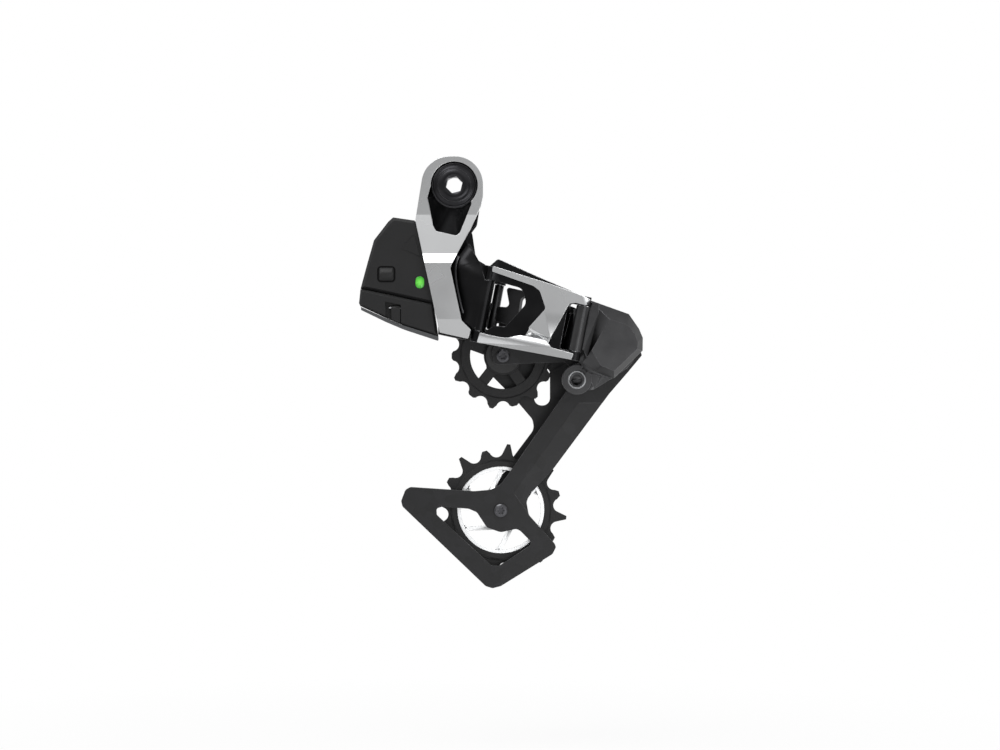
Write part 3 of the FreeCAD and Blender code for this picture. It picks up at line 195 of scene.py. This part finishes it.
# Outer arm: a forged aluminium strap that folds round the knuckle, blasted and clear anodised.
# The blasting leaves a fine satin grain, and the forged edges are broken by a small radius.
# The grit is about 0.1 mm, and is drawn at 0.6 mm, because finer grain doesn't show.
FOLD_ANGLE = 12
TOE_ANGLE = 4
BLAST_GRAIN = 0.0006
BLAST_DEPTH = 0.00001
SILVER_PATCH = 0.03
TONE_SHARES = (0.35, 0.65)
ROUGHNESS_SPREAD = 0.015
RELIEF_STRENGTH = 0.6
# Edges turn to a lighter colour where they round off. This is partly wear and partly a painted highlight.
WEAR_AND_HIGHLIGHT_NONE, WEAR_AND_HIGHLIGHT_FULL = 0.99, 0.85
WELD_DISTANCE = 2e-6


def surface(name, colour, shade, metallic, roughness, grain, depth, patch=0.012, edge=0.0003, edge_wear_and_highlight=None):
    """A finish: two tones in broad patches, roughness that varies, a fine grain, soft edges, and edges
    painted lighter, partly as wear and partly as a painted highlight.
    """
    finish = bpy.data.materials.new(name)
    finish.use_nodes = True
    tree = finish.node_tree
    shader = tree.nodes["Principled BSDF"]
    shader.inputs["Metallic"].default_value = metallic
    place = add(tree, "TexCoord").outputs["Object"]
    broad = add(tree, "TexNoise", {"Scale": 1 / patch, "Detail": 3.0}, {"Vector": place})
    tones = add(tree, "ValToRGB", links={0: broad.outputs["Fac"]})
    tones.color_ramp.elements[0].position = TONE_SHARES[0]
    tones.color_ramp.elements[1].position = TONE_SHARES[1]
    tones.color_ramp.elements[0].color = linear(shade)
    tones.color_ramp.elements[1].color = linear(colour)
    rough = add(tree, "MapRange", {"From Min": 0.3, "From Max": 0.7,
                                   "To Min": roughness - ROUGHNESS_SPREAD,
                                   "To Max": roughness + ROUGHNESS_SPREAD},
                {"Value": broad.outputs["Fac"]})
    fine = add(tree, "TexNoise", {"Scale": 1 / grain, "Detail": 2.0}, {"Vector": place})
    corners = add(tree, "Bevel", {"samples": 6, "Radius": edge})
    relief = add(tree, "Bump", {"Strength": RELIEF_STRENGTH, "Distance": depth},
                 {"Height": fine.outputs["Fac"], "Normal": corners.outputs[0]})
    # Painted highlight and wear: the colour turns lighter where the rounded-edge normal leans away from the
    # face's own normal.
    bend = add(tree, "VectorMath", {"operation": "DOT_PRODUCT"},
               {0: corners.outputs[0], 1: add(tree, "NewGeometry").outputs["Normal"]})
    wear_and_highlight = add(tree, "MapRange", {"From Min": WEAR_AND_HIGHLIGHT_NONE, "From Max": WEAR_AND_HIGHLIGHT_FULL},
               {"Value": bend.outputs["Value"]})
    rubbed_and_lit = add(tree, "Mix", {"data_type": "RGBA", 7: linear(edge_wear_and_highlight or colour)},
                 {0: wear_and_highlight.outputs[0], 6: tones.outputs[0]})
    tree.links.new(rubbed_and_lit.outputs[2], shader.inputs["Base Color"])
    tree.links.new(rough.outputs[0], shader.inputs["Roughness"])
    tree.links.new(relief.outputs[0], shader.inputs["Normal"])
    return finish


def settle(piece, body, finish, angle=28):
    """Shades a piece, gives it its finish and fixes it to a body."""
    mesh = piece.data
    mesh.materials.clear()
    mesh.materials.append(finish)
    mesh.shade_smooth()
    mesh.set_sharp_from_angle(angle=math.radians(angle))
    bpy.context.scene.collection.objects.link(piece)
    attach(piece, body)
    return piece


def smoothed(name, finish, angle=28):
    """A copy of a CAD piece with its round faces smoothed, which stands for that piece."""
    source = frame["nodes"][name]
    mesh = source.data.copy()
    made = bmesh.new()
    made.from_mesh(mesh)
    bmesh.ops.remove_doubles(made, verts=made.verts, dist=WELD_DISTANCE)
    made.to_mesh(mesh)
    made.free()
    piece = bpy.data.objects.new(name + "_finished", mesh)
    settle(piece, source["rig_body"], finish, angle)
    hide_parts(name)
    return piece


silver = surface("satin_anodised_aluminium", "#d4d5d6", "#d0d1d2", metallic=1.0, roughness=0.27,
                 grain=BLAST_GRAIN, depth=BLAST_DEPTH, patch=SILVER_PATCH)
smoothed("outer_arm", silver, TOE_ANGLE)

# Core of the arm and the knuckle casting: aluminium in black anodising, blasted like the arm.
# The dye gives an even deep black with a soft sheen. Its edges are painted lighter, partly as wear and
# partly as a painted highlight where an edge turns to the light.
black_anodised = surface("black_anodised_aluminium", "#262627", "#202021", metallic=1.0, roughness=0.34,
                         grain=BLAST_GRAIN, depth=BLAST_DEPTH, edge=0.0005, edge_wear_and_highlight="#6a6a6c")
smoothed("arm_core", black_anodised)
smoothed("knuckle_casting", black_anodised)

# Lip of the casting: a rounded bead along the arm's front edge, smoother than the rest, so that it
# catches the light in a thin line. It lies on the casting's face and follows the arm's waist and
# toe. Its path is in mm, as X and Z.
LIP_PATH = ((2.6, -38.5), (-0.7, -44.6), (5.4, -72.0), (7.6, -75.6), (11.5, -77.0))
LIP_RADIUS = 0.0007
LIP_GRAIN_DEPTH = 0.000003
casting = frame["nodes"]["knuckle_casting"].data
casting_skin = BVHTree.FromPolygons([corner.co for corner in casting.vertices],
                                    [face.vertices for face in casting.polygons])
bead = bpy.data.curves.new("casting_lip_line", "CURVE")
bead.dimensions = "3D"
bead.bevel_depth = LIP_RADIUS
bead.bevel_resolution = 3
bead.use_fill_caps = True
path = bead.splines.new("NURBS")
path.points.add(len(LIP_PATH) - 1)
for point, (x, z) in zip(path.points, LIP_PATH):
    on_skin = casting_skin.ray_cast(Vector((x / 1000, -1, z / 1000)), Vector((0, 1, 0)))[0]
    point.co = (x / 1000, on_skin.y, z / 1000, 1)
path.order_u = 3
path.use_endpoint_u = True
line = bpy.data.objects.new("casting_lip_line", bead)
lip = bpy.data.objects.new("casting_lip", bpy.data.meshes.new_from_object(line))
bpy.data.objects.remove(line)
polished = surface("polished_black_aluminium", "#4a4a4c", "#3c3c3e", metallic=1.0, roughness=0.22,
                   grain=BLAST_GRAIN, depth=LIP_GRAIN_DEPTH)
settle(lip, "frame_knuckle", polished)

# Mount bolt and its washer: black anodised aluminium, turned on a lathe and left as cut.
# The tool leaves fine rings round the bolt's line, which are 0.1 mm apart and drawn at 0.9 mm.
TURNING_PITCH = 0.0009
WAVE_FACTOR = 20
GROOVE_STRENGTH = 0.5
GROOVE_DEPTH = 0.00001
# Its edges are painted lighter, partly as wear and partly as a painted highlight, which shows as thin light
# rings.
turned_black = surface("turned_black_aluminium", "#353537", "#2b2b2d", metallic=1.0, roughness=0.3,
                       grain=BLAST_GRAIN, depth=BLAST_DEPTH, edge_wear_and_highlight="#8c8c8e")
tree = turned_black.node_tree
rings = add(tree, "TexWave", {"wave_type": "RINGS", "rings_direction": "Y",
                              "Scale": 2 * math.pi / WAVE_FACTOR / TURNING_PITCH},
            {"Vector": add(tree, "TexCoord").outputs["Object"]})
grooves = add(tree, "Bump", {"Strength": GROOVE_STRENGTH, "Distance": GROOVE_DEPTH},
              {"Height": rings.outputs["Fac"]})
tree.links.new(grooves.outputs[0], tree.nodes["Principled BSDF"].inputs["Normal"])
smoothed("mount_bolt", turned_black)
smoothed("mount_washer", turned_black)

# Drive housing, its cover and its button: glass-filled nylon, moulded in a spark-eroded tool.
# The tool leaves a pebbled grain of about 0.1 mm, drawn at 0.7 mm, and a dull grey-black sheen.
PEBBLE = 0.0007
PEBBLE_DEPTH = 0.00002
DULL_SPECULAR = 0.35
black_nylon = surface("moulded_black_nylon", "#131314", "#101011", metallic=0.0, roughness=0.5,
                      grain=PEBBLE, depth=PEBBLE_DEPTH)
black_nylon.node_tree.nodes["Principled BSDF"].inputs["Specular IOR Level"].default_value = DULL_SPECULAR
smoothed("drive_housing", black_nylon, FOLD_ANGLE)
smoothed("housing_cover", black_nylon)
smoothed("control_button", black_nylon)

# Facet of the housing beside the arm: a shallow triangle of the moulding that leans up to the light.
# Its corners are in mm, as X, Z and how far each one stands proud of the housing's face.
FACET_CORNERS = ((-29.0, -34.0, 0.05), (-21.6, -26.9, 0.7), (-18.4, -38.2, 0.7))
FACET_DEPTH = 0.0008


def piece_from(made, name):
    """Turns a finished bmesh into an object."""
    mesh = bpy.data.meshes.new(name)
    made.to_mesh(mesh)
    made.free()
    return bpy.data.objects.new(name, mesh)


def verts_of(parts):
    """The corners among the parts that a bmesh operator made."""
    return [part for part in parts if isinstance(part, bmesh.types.BMVert)]


face_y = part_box("drive_housing")[0].y
made = bmesh.new()
corners = [made.verts.new((x / 1000, face_y - proud / 1000, z / 1000)) for x, z, proud in FACET_CORNERS]
top = bmesh.ops.contextual_create(made, geom=corners)["faces"]
deep = bmesh.ops.extrude_face_region(made, geom=top)["geom"]
bmesh.ops.translate(made, verts=verts_of(deep), vec=(0, FACET_DEPTH, 0))
bmesh.ops.recalc_face_normals(made, faces=made.faces)
settle(piece_from(made, "housing_facet"), "frame_knuckle", black_nylon)

# Groove round the button: a frame with round corners in the moulding, painted nearly black as the
# shade in the groove, where little light gets in. This painted shade shows the button's outline.
BUTTON_SIZE = (0.0080, 0.0069)
FRAME_OUT, FRAME_IN = 0.0009, 0.0
FRAME_PROUD = 0.00015
FRAME_CORNER = 0.0012
BUTTON_PROUD = 0.0003
GROOVE_SPECULAR = 0.1
low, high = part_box("control_button")
groove_shade = surface("painted_groove_shade", "#040404", "#020202", metallic=0.0, roughness=0.7, grain=PEBBLE,
                 depth=PEBBLE_DEPTH)
groove_shade.node_tree.nodes["Principled BSDF"].inputs["Specular IOR Level"].default_value = GROOVE_SPECULAR
made = bmesh.new()
width, height = BUTTON_SIZE
loops = []
for spread in (FRAME_IN, FRAME_OUT):
    ring = bmesh.ops.create_grid(made, x_segments=1, y_segments=1, size=0.5)["verts"]
    bmesh.ops.scale(made, verts=ring, vec=(width + 2 * spread, height + 2 * spread, 1))
    bmesh.ops.bevel(made, geom=ring, offset=FRAME_CORNER + spread, segments=5, profile=0.5,
                    affect="VERTICES", material=-1)
    loops += [edge for face in made.faces for edge in face.edges if edge.is_boundary]
    bmesh.ops.delete(made, geom=list(made.faces), context="FACES_ONLY")
bmesh.ops.bridge_loops(made, edges=list(set(loops)))
place = Matrix.Translation(((low.x + high.x) / 2, low.y + BUTTON_PROUD - FRAME_PROUD, (low.z + high.z) / 2))
bmesh.ops.transform(made, matrix=place @ Matrix.Rotation(math.radians(90), 4, "X"), verts=made.verts)
bmesh.ops.recalc_face_normals(made, faces=made.faces)
settle(piece_from(made, "button_groove_shade"), "frame_knuckle", groove_shade)

# Indicator: a clear green light pipe through the housing, lit from the circuit board.
# It glows softly, and is brighter at its middle, over the lamp, than at its edge.
LIT_GREEN, EDGE_GREEN = "#7be55c", "#2f9a22"
GLOW_RADIUS = 0.0024 * 1.3
GLOW_STRENGTH = 0.25
LENS_GRAIN, LENS_PATCH = 0.0012, 0.0014
lens = surface("green_light_pipe", LIT_GREEN, EDGE_GREEN, metallic=0.0, roughness=0.2, grain=LENS_GRAIN,
               depth=PEBBLE_DEPTH, patch=LENS_PATCH)
tree = lens.node_tree
lens_shader = tree.nodes["Principled BSDF"]
light_low, light_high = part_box("indicator_light")
middle = (light_low + light_high) / 2
offset = add(tree, "VectorMath", {"operation": "DISTANCE", 1: (middle.x, light_low.y, middle.z)},
             {0: add(tree, "TexCoord").outputs["Object"]})
glow = add(tree, "MapRange", {"From Max": GLOW_RADIUS, "To Min": 1.0, "To Max": 0.0},
           {"Value": offset.outputs["Value"]})
lit = add(tree, "ValToRGB", links={0: glow.outputs[0]})
lit.color_ramp.elements[0].color = linear(EDGE_GREEN)
lit.color_ramp.elements[1].color = linear(LIT_GREEN)
tree.links.new(lit.outputs[0], lens_shader.inputs["Base Color"])
tree.links.new(lit.outputs[0], lens_shader.inputs["Emission Color"])
lens_shader.inputs["Emission Strength"].default_value = GLOW_STRENGTH
smoothed("indicator_light", lens)

# Battery and its latch: the same moulded nylon, clipped under the housing along a slanting seam.
# The skid under it is of a lighter grey nylon with the same pebbled grain.
grey_nylon = surface("moulded_grey_nylon", "#4a4b4d", "#444547", metallic=0.0, roughness=0.5,
                     grain=PEBBLE, depth=PEBBLE_DEPTH)
smoothed("battery", black_nylon, FOLD_ANGLE)
smoothed("battery_latch", black_nylon)
smoothed("battery_skid", grey_nylon)

# Outer link: forged aluminium, blasted and clear anodised like the arm. It lies on a black
# anodised lining, whose lugs carry the pins.
smoothed("outer_link", silver)
smoothed("link_lining", black_anodised)

# Inner link: forged aluminium in hard anodising, seen through the outer link's window. The thick
# layer gives the eye a dull dark grey. Its edges are painted a little lighter, partly as wear and partly as
# a painted highlight.
link_grey = surface("hard_anodised_aluminium", "#3d3d3e", "#353536", metallic=1.0, roughness=0.38,
                    grain=BLAST_GRAIN, depth=BLAST_DEPTH, edge_wear_and_highlight="#808082")
smoothed("inner_link", link_grey)

# Pocket at the far end of the outer link: a wall stands on the back of the lining, and carries a
# thin web that makes the window look closed and dark. Places are in mm from the far pin, along
# the link and square to it.
POCKET_WALLS = (((-10.6, -9.4), (1.6, 6.2)), ((-9.6, -4.5), (5.6, 6.2)))
POCKET_HEIGHT = (-15.5, 8.5)
WALL_BEVEL = 0.0001
near_low, near_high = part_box("link_pin_near")
far_low, far_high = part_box("link_pin_far")
near, far = (near_low + near_high) / 2, (far_low + far_high) / 2
along = Vector((far.x - near.x, far.y - near.y, 0)).normalized()
inward = Vector((-along.y, along.x, 0))
lean = Vector((far.x - near.x, 0, far.z - near.z)).normalized()
upward = Vector((-lean.z, 0, lean.x))
made = bmesh.new()
for spans in POCKET_WALLS:
    for corner in bmesh.ops.create_cube(made, size=1)["verts"]:
        ends = (spans[0][corner.co.x > 0], spans[1][corner.co.y > 0], POCKET_HEIGHT[corner.co.z > 0])
        corner.co = far + (along * ends[0] + inward * ends[1] + upward * ends[2]) / 1000
bmesh.ops.bevel(made, geom=made.edges[:], offset=WALL_BEVEL, segments=1, profile=0.5, affect="EDGES",
                material=-1)
bmesh.ops.recalc_face_normals(made, faces=made.faces)
settle(piece_from(made, "link_pocket_wall"), "outer_link", black_anodised)

# Cage knuckle and its lock button: forged aluminium in dark grey anodising, with broad facets.
# The facets are flat and meet in crisp lines, and each takes the light as one soft grey tone.
# Its edges are painted lighter, partly as wear and partly as a painted highlight.
grey_anodised = surface("grey_anodised_aluminium", "#464647", "#3f3f40", metallic=1.0, roughness=0.36,
                        grain=BLAST_GRAIN, depth=BLAST_DEPTH, edge_wear_and_highlight="#77777a")
smoothed("cage_knuckle", grey_anodised, FOLD_ANGLE)
smoothed("cage_lock_button", grey_anodised)
smoothed("cage_axle", black_anodised)

# Lock ring: a steel ring pressed into the knuckle round the lock button, and ground bright.
# Its profile is in mm, as radius and height above the knuckle's boss.
LOCK_RING = ((3.85, 0.0), (3.85, 0.35), (4.1, 0.5), (4.7, 0.5), (5.0, 0.3), (5.0, 0.0))
LOCK_PROUD = 0.0005
SEAM_DISTANCE = 1e-7


def turned(made, profile, x, z, steps=64):
    """Turns a closed profile of (radius, place across the bicycle) points about a line at x, z."""
    corners = [made.verts.new((x + radius, y, z)) for radius, y in profile]
    edges = [made.edges.new((a, b)) for a, b in zip(corners, corners[1:] + corners[:1])]
    bmesh.ops.spin(made, geom=corners + edges, cent=(x, 0, z), axis=(0, 1, 0), angle=2 * math.pi,
                   steps=steps, use_merge=True)
    bmesh.ops.remove_doubles(made, verts=made.verts, dist=SEAM_DISTANCE)
    bmesh.ops.recalc_face_normals(made, faces=made.faces)


steel = surface("ground_steel", "#8f9092", "#838486", metallic=1.0, roughness=0.28, grain=BLAST_GRAIN,
                depth=BLAST_DEPTH)
lock_low, lock_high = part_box("cage_lock_button")
lock_x, lock_z = (lock_low.x + lock_high.x) / 2, (lock_low.z + lock_high.z) / 2
boss_face = lock_low.y + LOCK_PROUD
made = bmesh.new()
turned(made, [(r / 1000, boss_face - y / 1000) for r, y in LOCK_RING], lock_x, lock_z)
settle(piece_from(made, "lock_ring"), "cage_knuckle", steel)

# Cage plates: chopped carbon fibre, pressed in a mould and left matt.
# The chopped tow shows as faint flecks, 4 to 6 mm across, a little lighter or darker.
TOW_FLECK = 0.005
TOW_DARK, TOW_LIGHT = "#121213", "#1b1b1d"
PLATE_ANGLE = 4
# Its edges are painted lighter, partly as wear and partly as a painted highlight, which gives a thin light
# outline.
carbon = surface("pressed_carbon_fibre", "#161617", "#101011", metallic=0.0, roughness=0.5, grain=PEBBLE,
                 depth=BLAST_DEPTH, edge_wear_and_highlight="#5c5c5e")
tree = carbon.node_tree
carbon_shader = tree.nodes["Principled BSDF"]
carbon_shader.inputs["Specular IOR Level"].default_value = DULL_SPECULAR
flecks = add(tree, "TexVoronoi", {"Scale": 1 / TOW_FLECK, "Randomness": 1.0},
             {"Vector": add(tree, "TexCoord").outputs["Object"]})
tow = add(tree, "ValToRGB", links={0: flecks.outputs["Color"]})
tow.color_ramp.elements[0].color = linear(TOW_DARK)
tow.color_ramp.elements[1].color = linear(TOW_LIGHT)
rubbed_and_lit = carbon_shader.inputs["Base Color"].links[0].from_node
tree.links.new(tow.outputs[0], rubbed_and_lit.inputs[6])
smoothed("outer_cage_plate", carbon, PLATE_ANGLE)
smoothed("inner_cage_plate", carbon)

# Spider of the lower pulley: machined from aluminium plate and bright dipped.
# The dip leaves a smooth, pale skin, so that it looks nearly white between the black plates.
SPIDER_ANGLE = 14
DIPPED_DEPTH = 0.000006
bright = surface("bright_dipped_aluminium", "#f2f3f4", "#eaebec", metallic=1.0, roughness=0.42,
                 grain=BLAST_GRAIN, depth=DIPPED_DEPTH)
smoothed("lower_pulley_spider", bright, SPIDER_ANGLE)

# Guide pulley: moulded nylon, with a hub on five spokes. The chain's rollers bed in round gullets,
# and the teeth are tall and slim or short and wide in turn. Profiles are in mm, as radius and
# half width.
PITCH = 0.0127
GULLET_RADIUS = 0.00385
GULLET_REACH = 68
GULLET_STEPS = 9
TOOTH_HALF = 0.001
TALL_TIP_HALF, SHORT_TIP_HALF = 0.0009, 0.0013
HOLE_STEPS = 96
GUIDE_TEETH = 14
GUIDE_TALL, GUIDE_SHORT = 0.00075, -0.00045
GUIDE_HOLE = 0.0200
GUIDE_RIM = ((18.0, 2.2), (22.5, 2.2), (23.4, 1.0))
GUIDE_HUB = ((7.5, 2.8), (10.2, 2.8), (10.5, 2.5))
SPOKES = 5
FIRST_SPOKE = 16
SPOKE_SIZE = (0.0093, 0.0060, 1)
SPOKE_MIDDLE = 0.01435
SPOKE_HALF = 0.0016


def toothed(made, x, y, z, teeth, first, tall, short, inner):
    """A toothed disc with a round hole: gullets on the pitch circle, and tips of two heights."""
    pitch_radius = PITCH / (2 * math.sin(math.pi / teeth))
    step = 2 * math.pi / teeth
    outline = []
    for k in range(teeth):
        middle = math.radians(first) + step * k
        if k % 2:
            tip, half = pitch_radius + short, SHORT_TIP_HALF
        else:
            tip, half = pitch_radius + tall, TALL_TIP_HALF
        for side in (-half, half):
            outline.append((tip * math.cos(middle + side / tip), tip * math.sin(middle + side / tip)))
        seat = middle + step / 2
        for turn in range(GULLET_STEPS):
            lean = math.radians(GULLET_REACH * (2 * turn / (GULLET_STEPS - 1) - 1))
            bed = seat + math.pi - lean
            outline.append((pitch_radius * math.cos(seat) + GULLET_RADIUS * math.cos(bed),
                            pitch_radius * math.sin(seat) + GULLET_RADIUS * math.sin(bed)))
    corners = [made.verts.new((x + across, y - TOOTH_HALF, z + up)) for across, up in outline]
    rim = [made.edges.new(pair) for pair in zip(corners, corners[1:] + corners[:1])]
    turn_upright = Matrix.Translation((x, y - TOOTH_HALF, z)) @ Matrix.Rotation(math.radians(90), 4, "X")
    hole = bmesh.ops.create_circle(made, segments=HOLE_STEPS, radius=inner, matrix=turn_upright)["verts"]
    rim += [edge for edge in made.edges if edge.verts[0] in hole and edge.verts[1] in hole]
    flat = bmesh.ops.triangle_fill(made, edges=rim, use_beauty=True)["geom"]
    flat = [part for part in flat if isinstance(part, bmesh.types.BMFace)]
    deep = bmesh.ops.extrude_face_region(made, geom=flat)["geom"]
    bmesh.ops.translate(made, verts=verts_of(deep), vec=(0, 2 * TOOTH_HALF, 0))


def rim_of(made, x, y, z, profile):
    """A rim turned from (radius, half width) points."""
    half = [(radius / 1000, side / 1000) for radius, side in profile]
    whole = half + [(radius, -side) for radius, side in reversed(half)]
    turned(made, [(radius, y + side) for radius, side in whole], x, z, steps=HOLE_STEPS)


guide_low, guide_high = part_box("guide_pulley_bearing")
guide_at = (guide_low + guide_high) / 2
made = bmesh.new()
toothed(made, *guide_at, GUIDE_TEETH, 0.0, GUIDE_TALL, GUIDE_SHORT, GUIDE_HOLE)
rim_of(made, *guide_at, GUIDE_RIM)
rim_of(made, *guide_at, GUIDE_HUB)
for k in range(SPOKES):
    spoke = bmesh.ops.create_grid(made, x_segments=1, y_segments=1, size=0.5)["verts"]
    bmesh.ops.scale(made, verts=spoke, vec=SPOKE_SIZE)
    bmesh.ops.translate(made, verts=spoke, vec=(SPOKE_MIDDLE, 0, -SPOKE_HALF))
    faces = list({face for vert in spoke for face in vert.link_faces})
    deep = verts_of(bmesh.ops.extrude_face_region(made, geom=faces)["geom"])
    bmesh.ops.translate(made, verts=deep, vec=(0, 0, 2 * SPOKE_HALF))
    around = Matrix.Rotation(math.radians(FIRST_SPOKE + 360 / SPOKES * k), 4, "Z")
    into_place = Matrix.Translation(guide_at) @ Matrix.Rotation(math.radians(90), 4, "X") @ around
    bmesh.ops.transform(made, matrix=into_place, verts=list(set(spoke) | set(deep)))
bmesh.ops.recalc_face_normals(made, faces=made.faces)
guide = settle(piece_from(made, "guide_pulley_finished"), "guide_pulley", black_nylon)
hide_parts("guide_pulley")

# Ring of the lower pulley: moulded nylon like the guide pulley, with the same gullets and teeth.
# It runs round the bright spider.
LOWER_TEETH = 16
LOWER_FIRST = -6.9
LOWER_TALL, LOWER_SHORT = 0.00345, 0.00065
LOWER_HOLE = 0.0238
LOWER_RIM = ((23.8, 2.2), (26.4, 2.2), (27.4, 1.2))
lower_low, lower_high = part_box("lower_pulley_bearing")
lower_at = (lower_low + lower_high) / 2
made = bmesh.new()
toothed(made, *lower_at, LOWER_TEETH, LOWER_FIRST, LOWER_TALL, LOWER_SHORT, LOWER_HOLE)
rim_of(made, *lower_at, LOWER_RIM)
bmesh.ops.recalc_face_normals(made, faces=made.faces)
lower = settle(piece_from(made, "lower_pulley_ring_finished"), "lower_ring", black_nylon)
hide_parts("lower_pulley_ring")

# Pulley bolts and dust caps: steel, the bolts in black oxide and the caps painted. The oxide is a
# dark grey with a metal's shine, and the paint a duller black. Each bolt's head has a six-lobed
# socket, which is 4.2 mm across its lobes and 2.5 mm deep.
LOBES = 6
LOBE_STEPS = 8
SOCKET_OUT, SOCKET_IN = 0.0021, 0.0014
SOCKET_DEPTH = 0.0025
HEAD_CHAMFER, CHAMFER_DEPTH = 0.0008, 0.0005
SKIRT_DEPTH = 0.0013
HEAD_HEIGHT = 0.0018
SHANK_SHARE = 2.5 / 3.6


def edges_of(parts):
    """The edges among the parts that a bmesh operator made."""
    return [part for part in parts if isinstance(part, bmesh.types.BMEdge)]


oxide = surface("black_oxide_steel", "#5a5a5d", "#4c4c4f", metallic=1.0, roughness=0.3,
                grain=BLAST_GRAIN, depth=BLAST_DEPTH)
cap_black = surface("painted_steel_cap", "#19191a", "#141415", metallic=0.0, roughness=0.45,
                    grain=PEBBLE, depth=PEBBLE_DEPTH)
for name in ("guide_pulley", "lower_pulley"):
    smoothed(name + "_caps", cap_black)
    low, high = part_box(name + "_bolt")
    x, z, head = (low.x + high.x) / 2, (low.z + high.z) / 2, (high.x - low.x) / 2
    made = bmesh.new()
    turn_to_depth = Matrix.Rotation(math.radians(90), 4, "X")
    rim = bmesh.ops.create_circle(made, segments=LOBES * LOBE_STEPS, radius=head - HEAD_CHAMFER)["verts"]
    lobes = bmesh.ops.create_circle(made, segments=LOBES * LOBE_STEPS, radius=SOCKET_OUT)["verts"]
    for corner in lobes:
        angle = math.atan2(corner.co.y, corner.co.x)
        reach = (SOCKET_OUT + SOCKET_IN) / 2 + (SOCKET_OUT - SOCKET_IN) / 2 * math.cos(LOBES * angle)
        corner.co *= reach / corner.co.length
    outer_loop = [e for e in made.edges if all(v in rim for v in e.verts)]
    inner_loop = [e for e in made.edges if all(v in lobes for v in e.verts)]
    bmesh.ops.bridge_loops(made, edges=outer_loop + inner_loop)
    walls = bmesh.ops.extrude_edge_only(made, edges=inner_loop)["geom"]
    bmesh.ops.translate(made, verts=verts_of(walls), vec=(0, 0, -SOCKET_DEPTH))
    bmesh.ops.contextual_create(made, geom=edges_of(walls))
    sides = bmesh.ops.extrude_edge_only(made, edges=outer_loop)["geom"]
    spread = head / (head - HEAD_CHAMFER)
    bmesh.ops.scale(made, verts=verts_of(sides), vec=(spread, spread, 1))
    bmesh.ops.translate(made, verts=verts_of(sides), vec=(0, 0, -CHAMFER_DEPTH))
    skirt = bmesh.ops.extrude_edge_only(made, edges=edges_of(sides))["geom"]
    bmesh.ops.translate(made, verts=verts_of(skirt), vec=(0, 0, -SKIRT_DEPTH))
    stem = bmesh.ops.extrude_edge_only(made, edges=edges_of(skirt))["geom"]
    bmesh.ops.scale(made, verts=verts_of(stem), vec=(SHANK_SHARE, SHANK_SHARE, 1))
    shank = bmesh.ops.extrude_edge_only(made, edges=edges_of(stem))["geom"]
    bmesh.ops.translate(made, verts=verts_of(shank), vec=(0, 0, low.y - high.y + HEAD_HEIGHT))
    bmesh.ops.contextual_create(made, geom=edges_of(shank))
    bmesh.ops.transform(made, matrix=Matrix.Translation((x, low.y, z)) @ turn_to_depth, verts=made.verts)
    bmesh.ops.recalc_face_normals(made, faces=made.faces)
    bolt = settle(piece_from(made, name + "_socket_bolt"), "cage", oxide)
    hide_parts(name + "_bolt")

# Inner pieces of steel: pins, screws, bearings, sleeves, the cage's spring and clutch, the gears
# and the motor's case. They keep the CAD meshes, and take the grey shine of the lock ring.
for name in ("housing_screws", "inner_pin_near", "inner_pin_far", "link_pin_near", "link_pin_far",
             "latch_pin", "cage_spring", "cage_clutch", "guide_pulley_bearing",
             "lower_pulley_bearing", "guide_pulley_sleeve", "lower_pulley_sleeve", "motor_pinion",
             "drive_sector", "gear_motor"):
    frame["nodes"][name].data.materials.clear()
    frame["nodes"][name].data.materials.append(steel)

# Circuit board: glass fibre under a green solder mask, held inside the housing.
# The mask is a smooth dark green with a slight gloss.
board = surface("green_solder_mask", "#1f5a34", "#1a4d2c", metallic=0.0, roughness=0.4,
                grain=BLAST_GRAIN, depth=BLAST_DEPTH)
frame["nodes"]["circuit_board"].data.materials.clear()
frame["nodes"]["circuit_board"].data.materials.append(board)
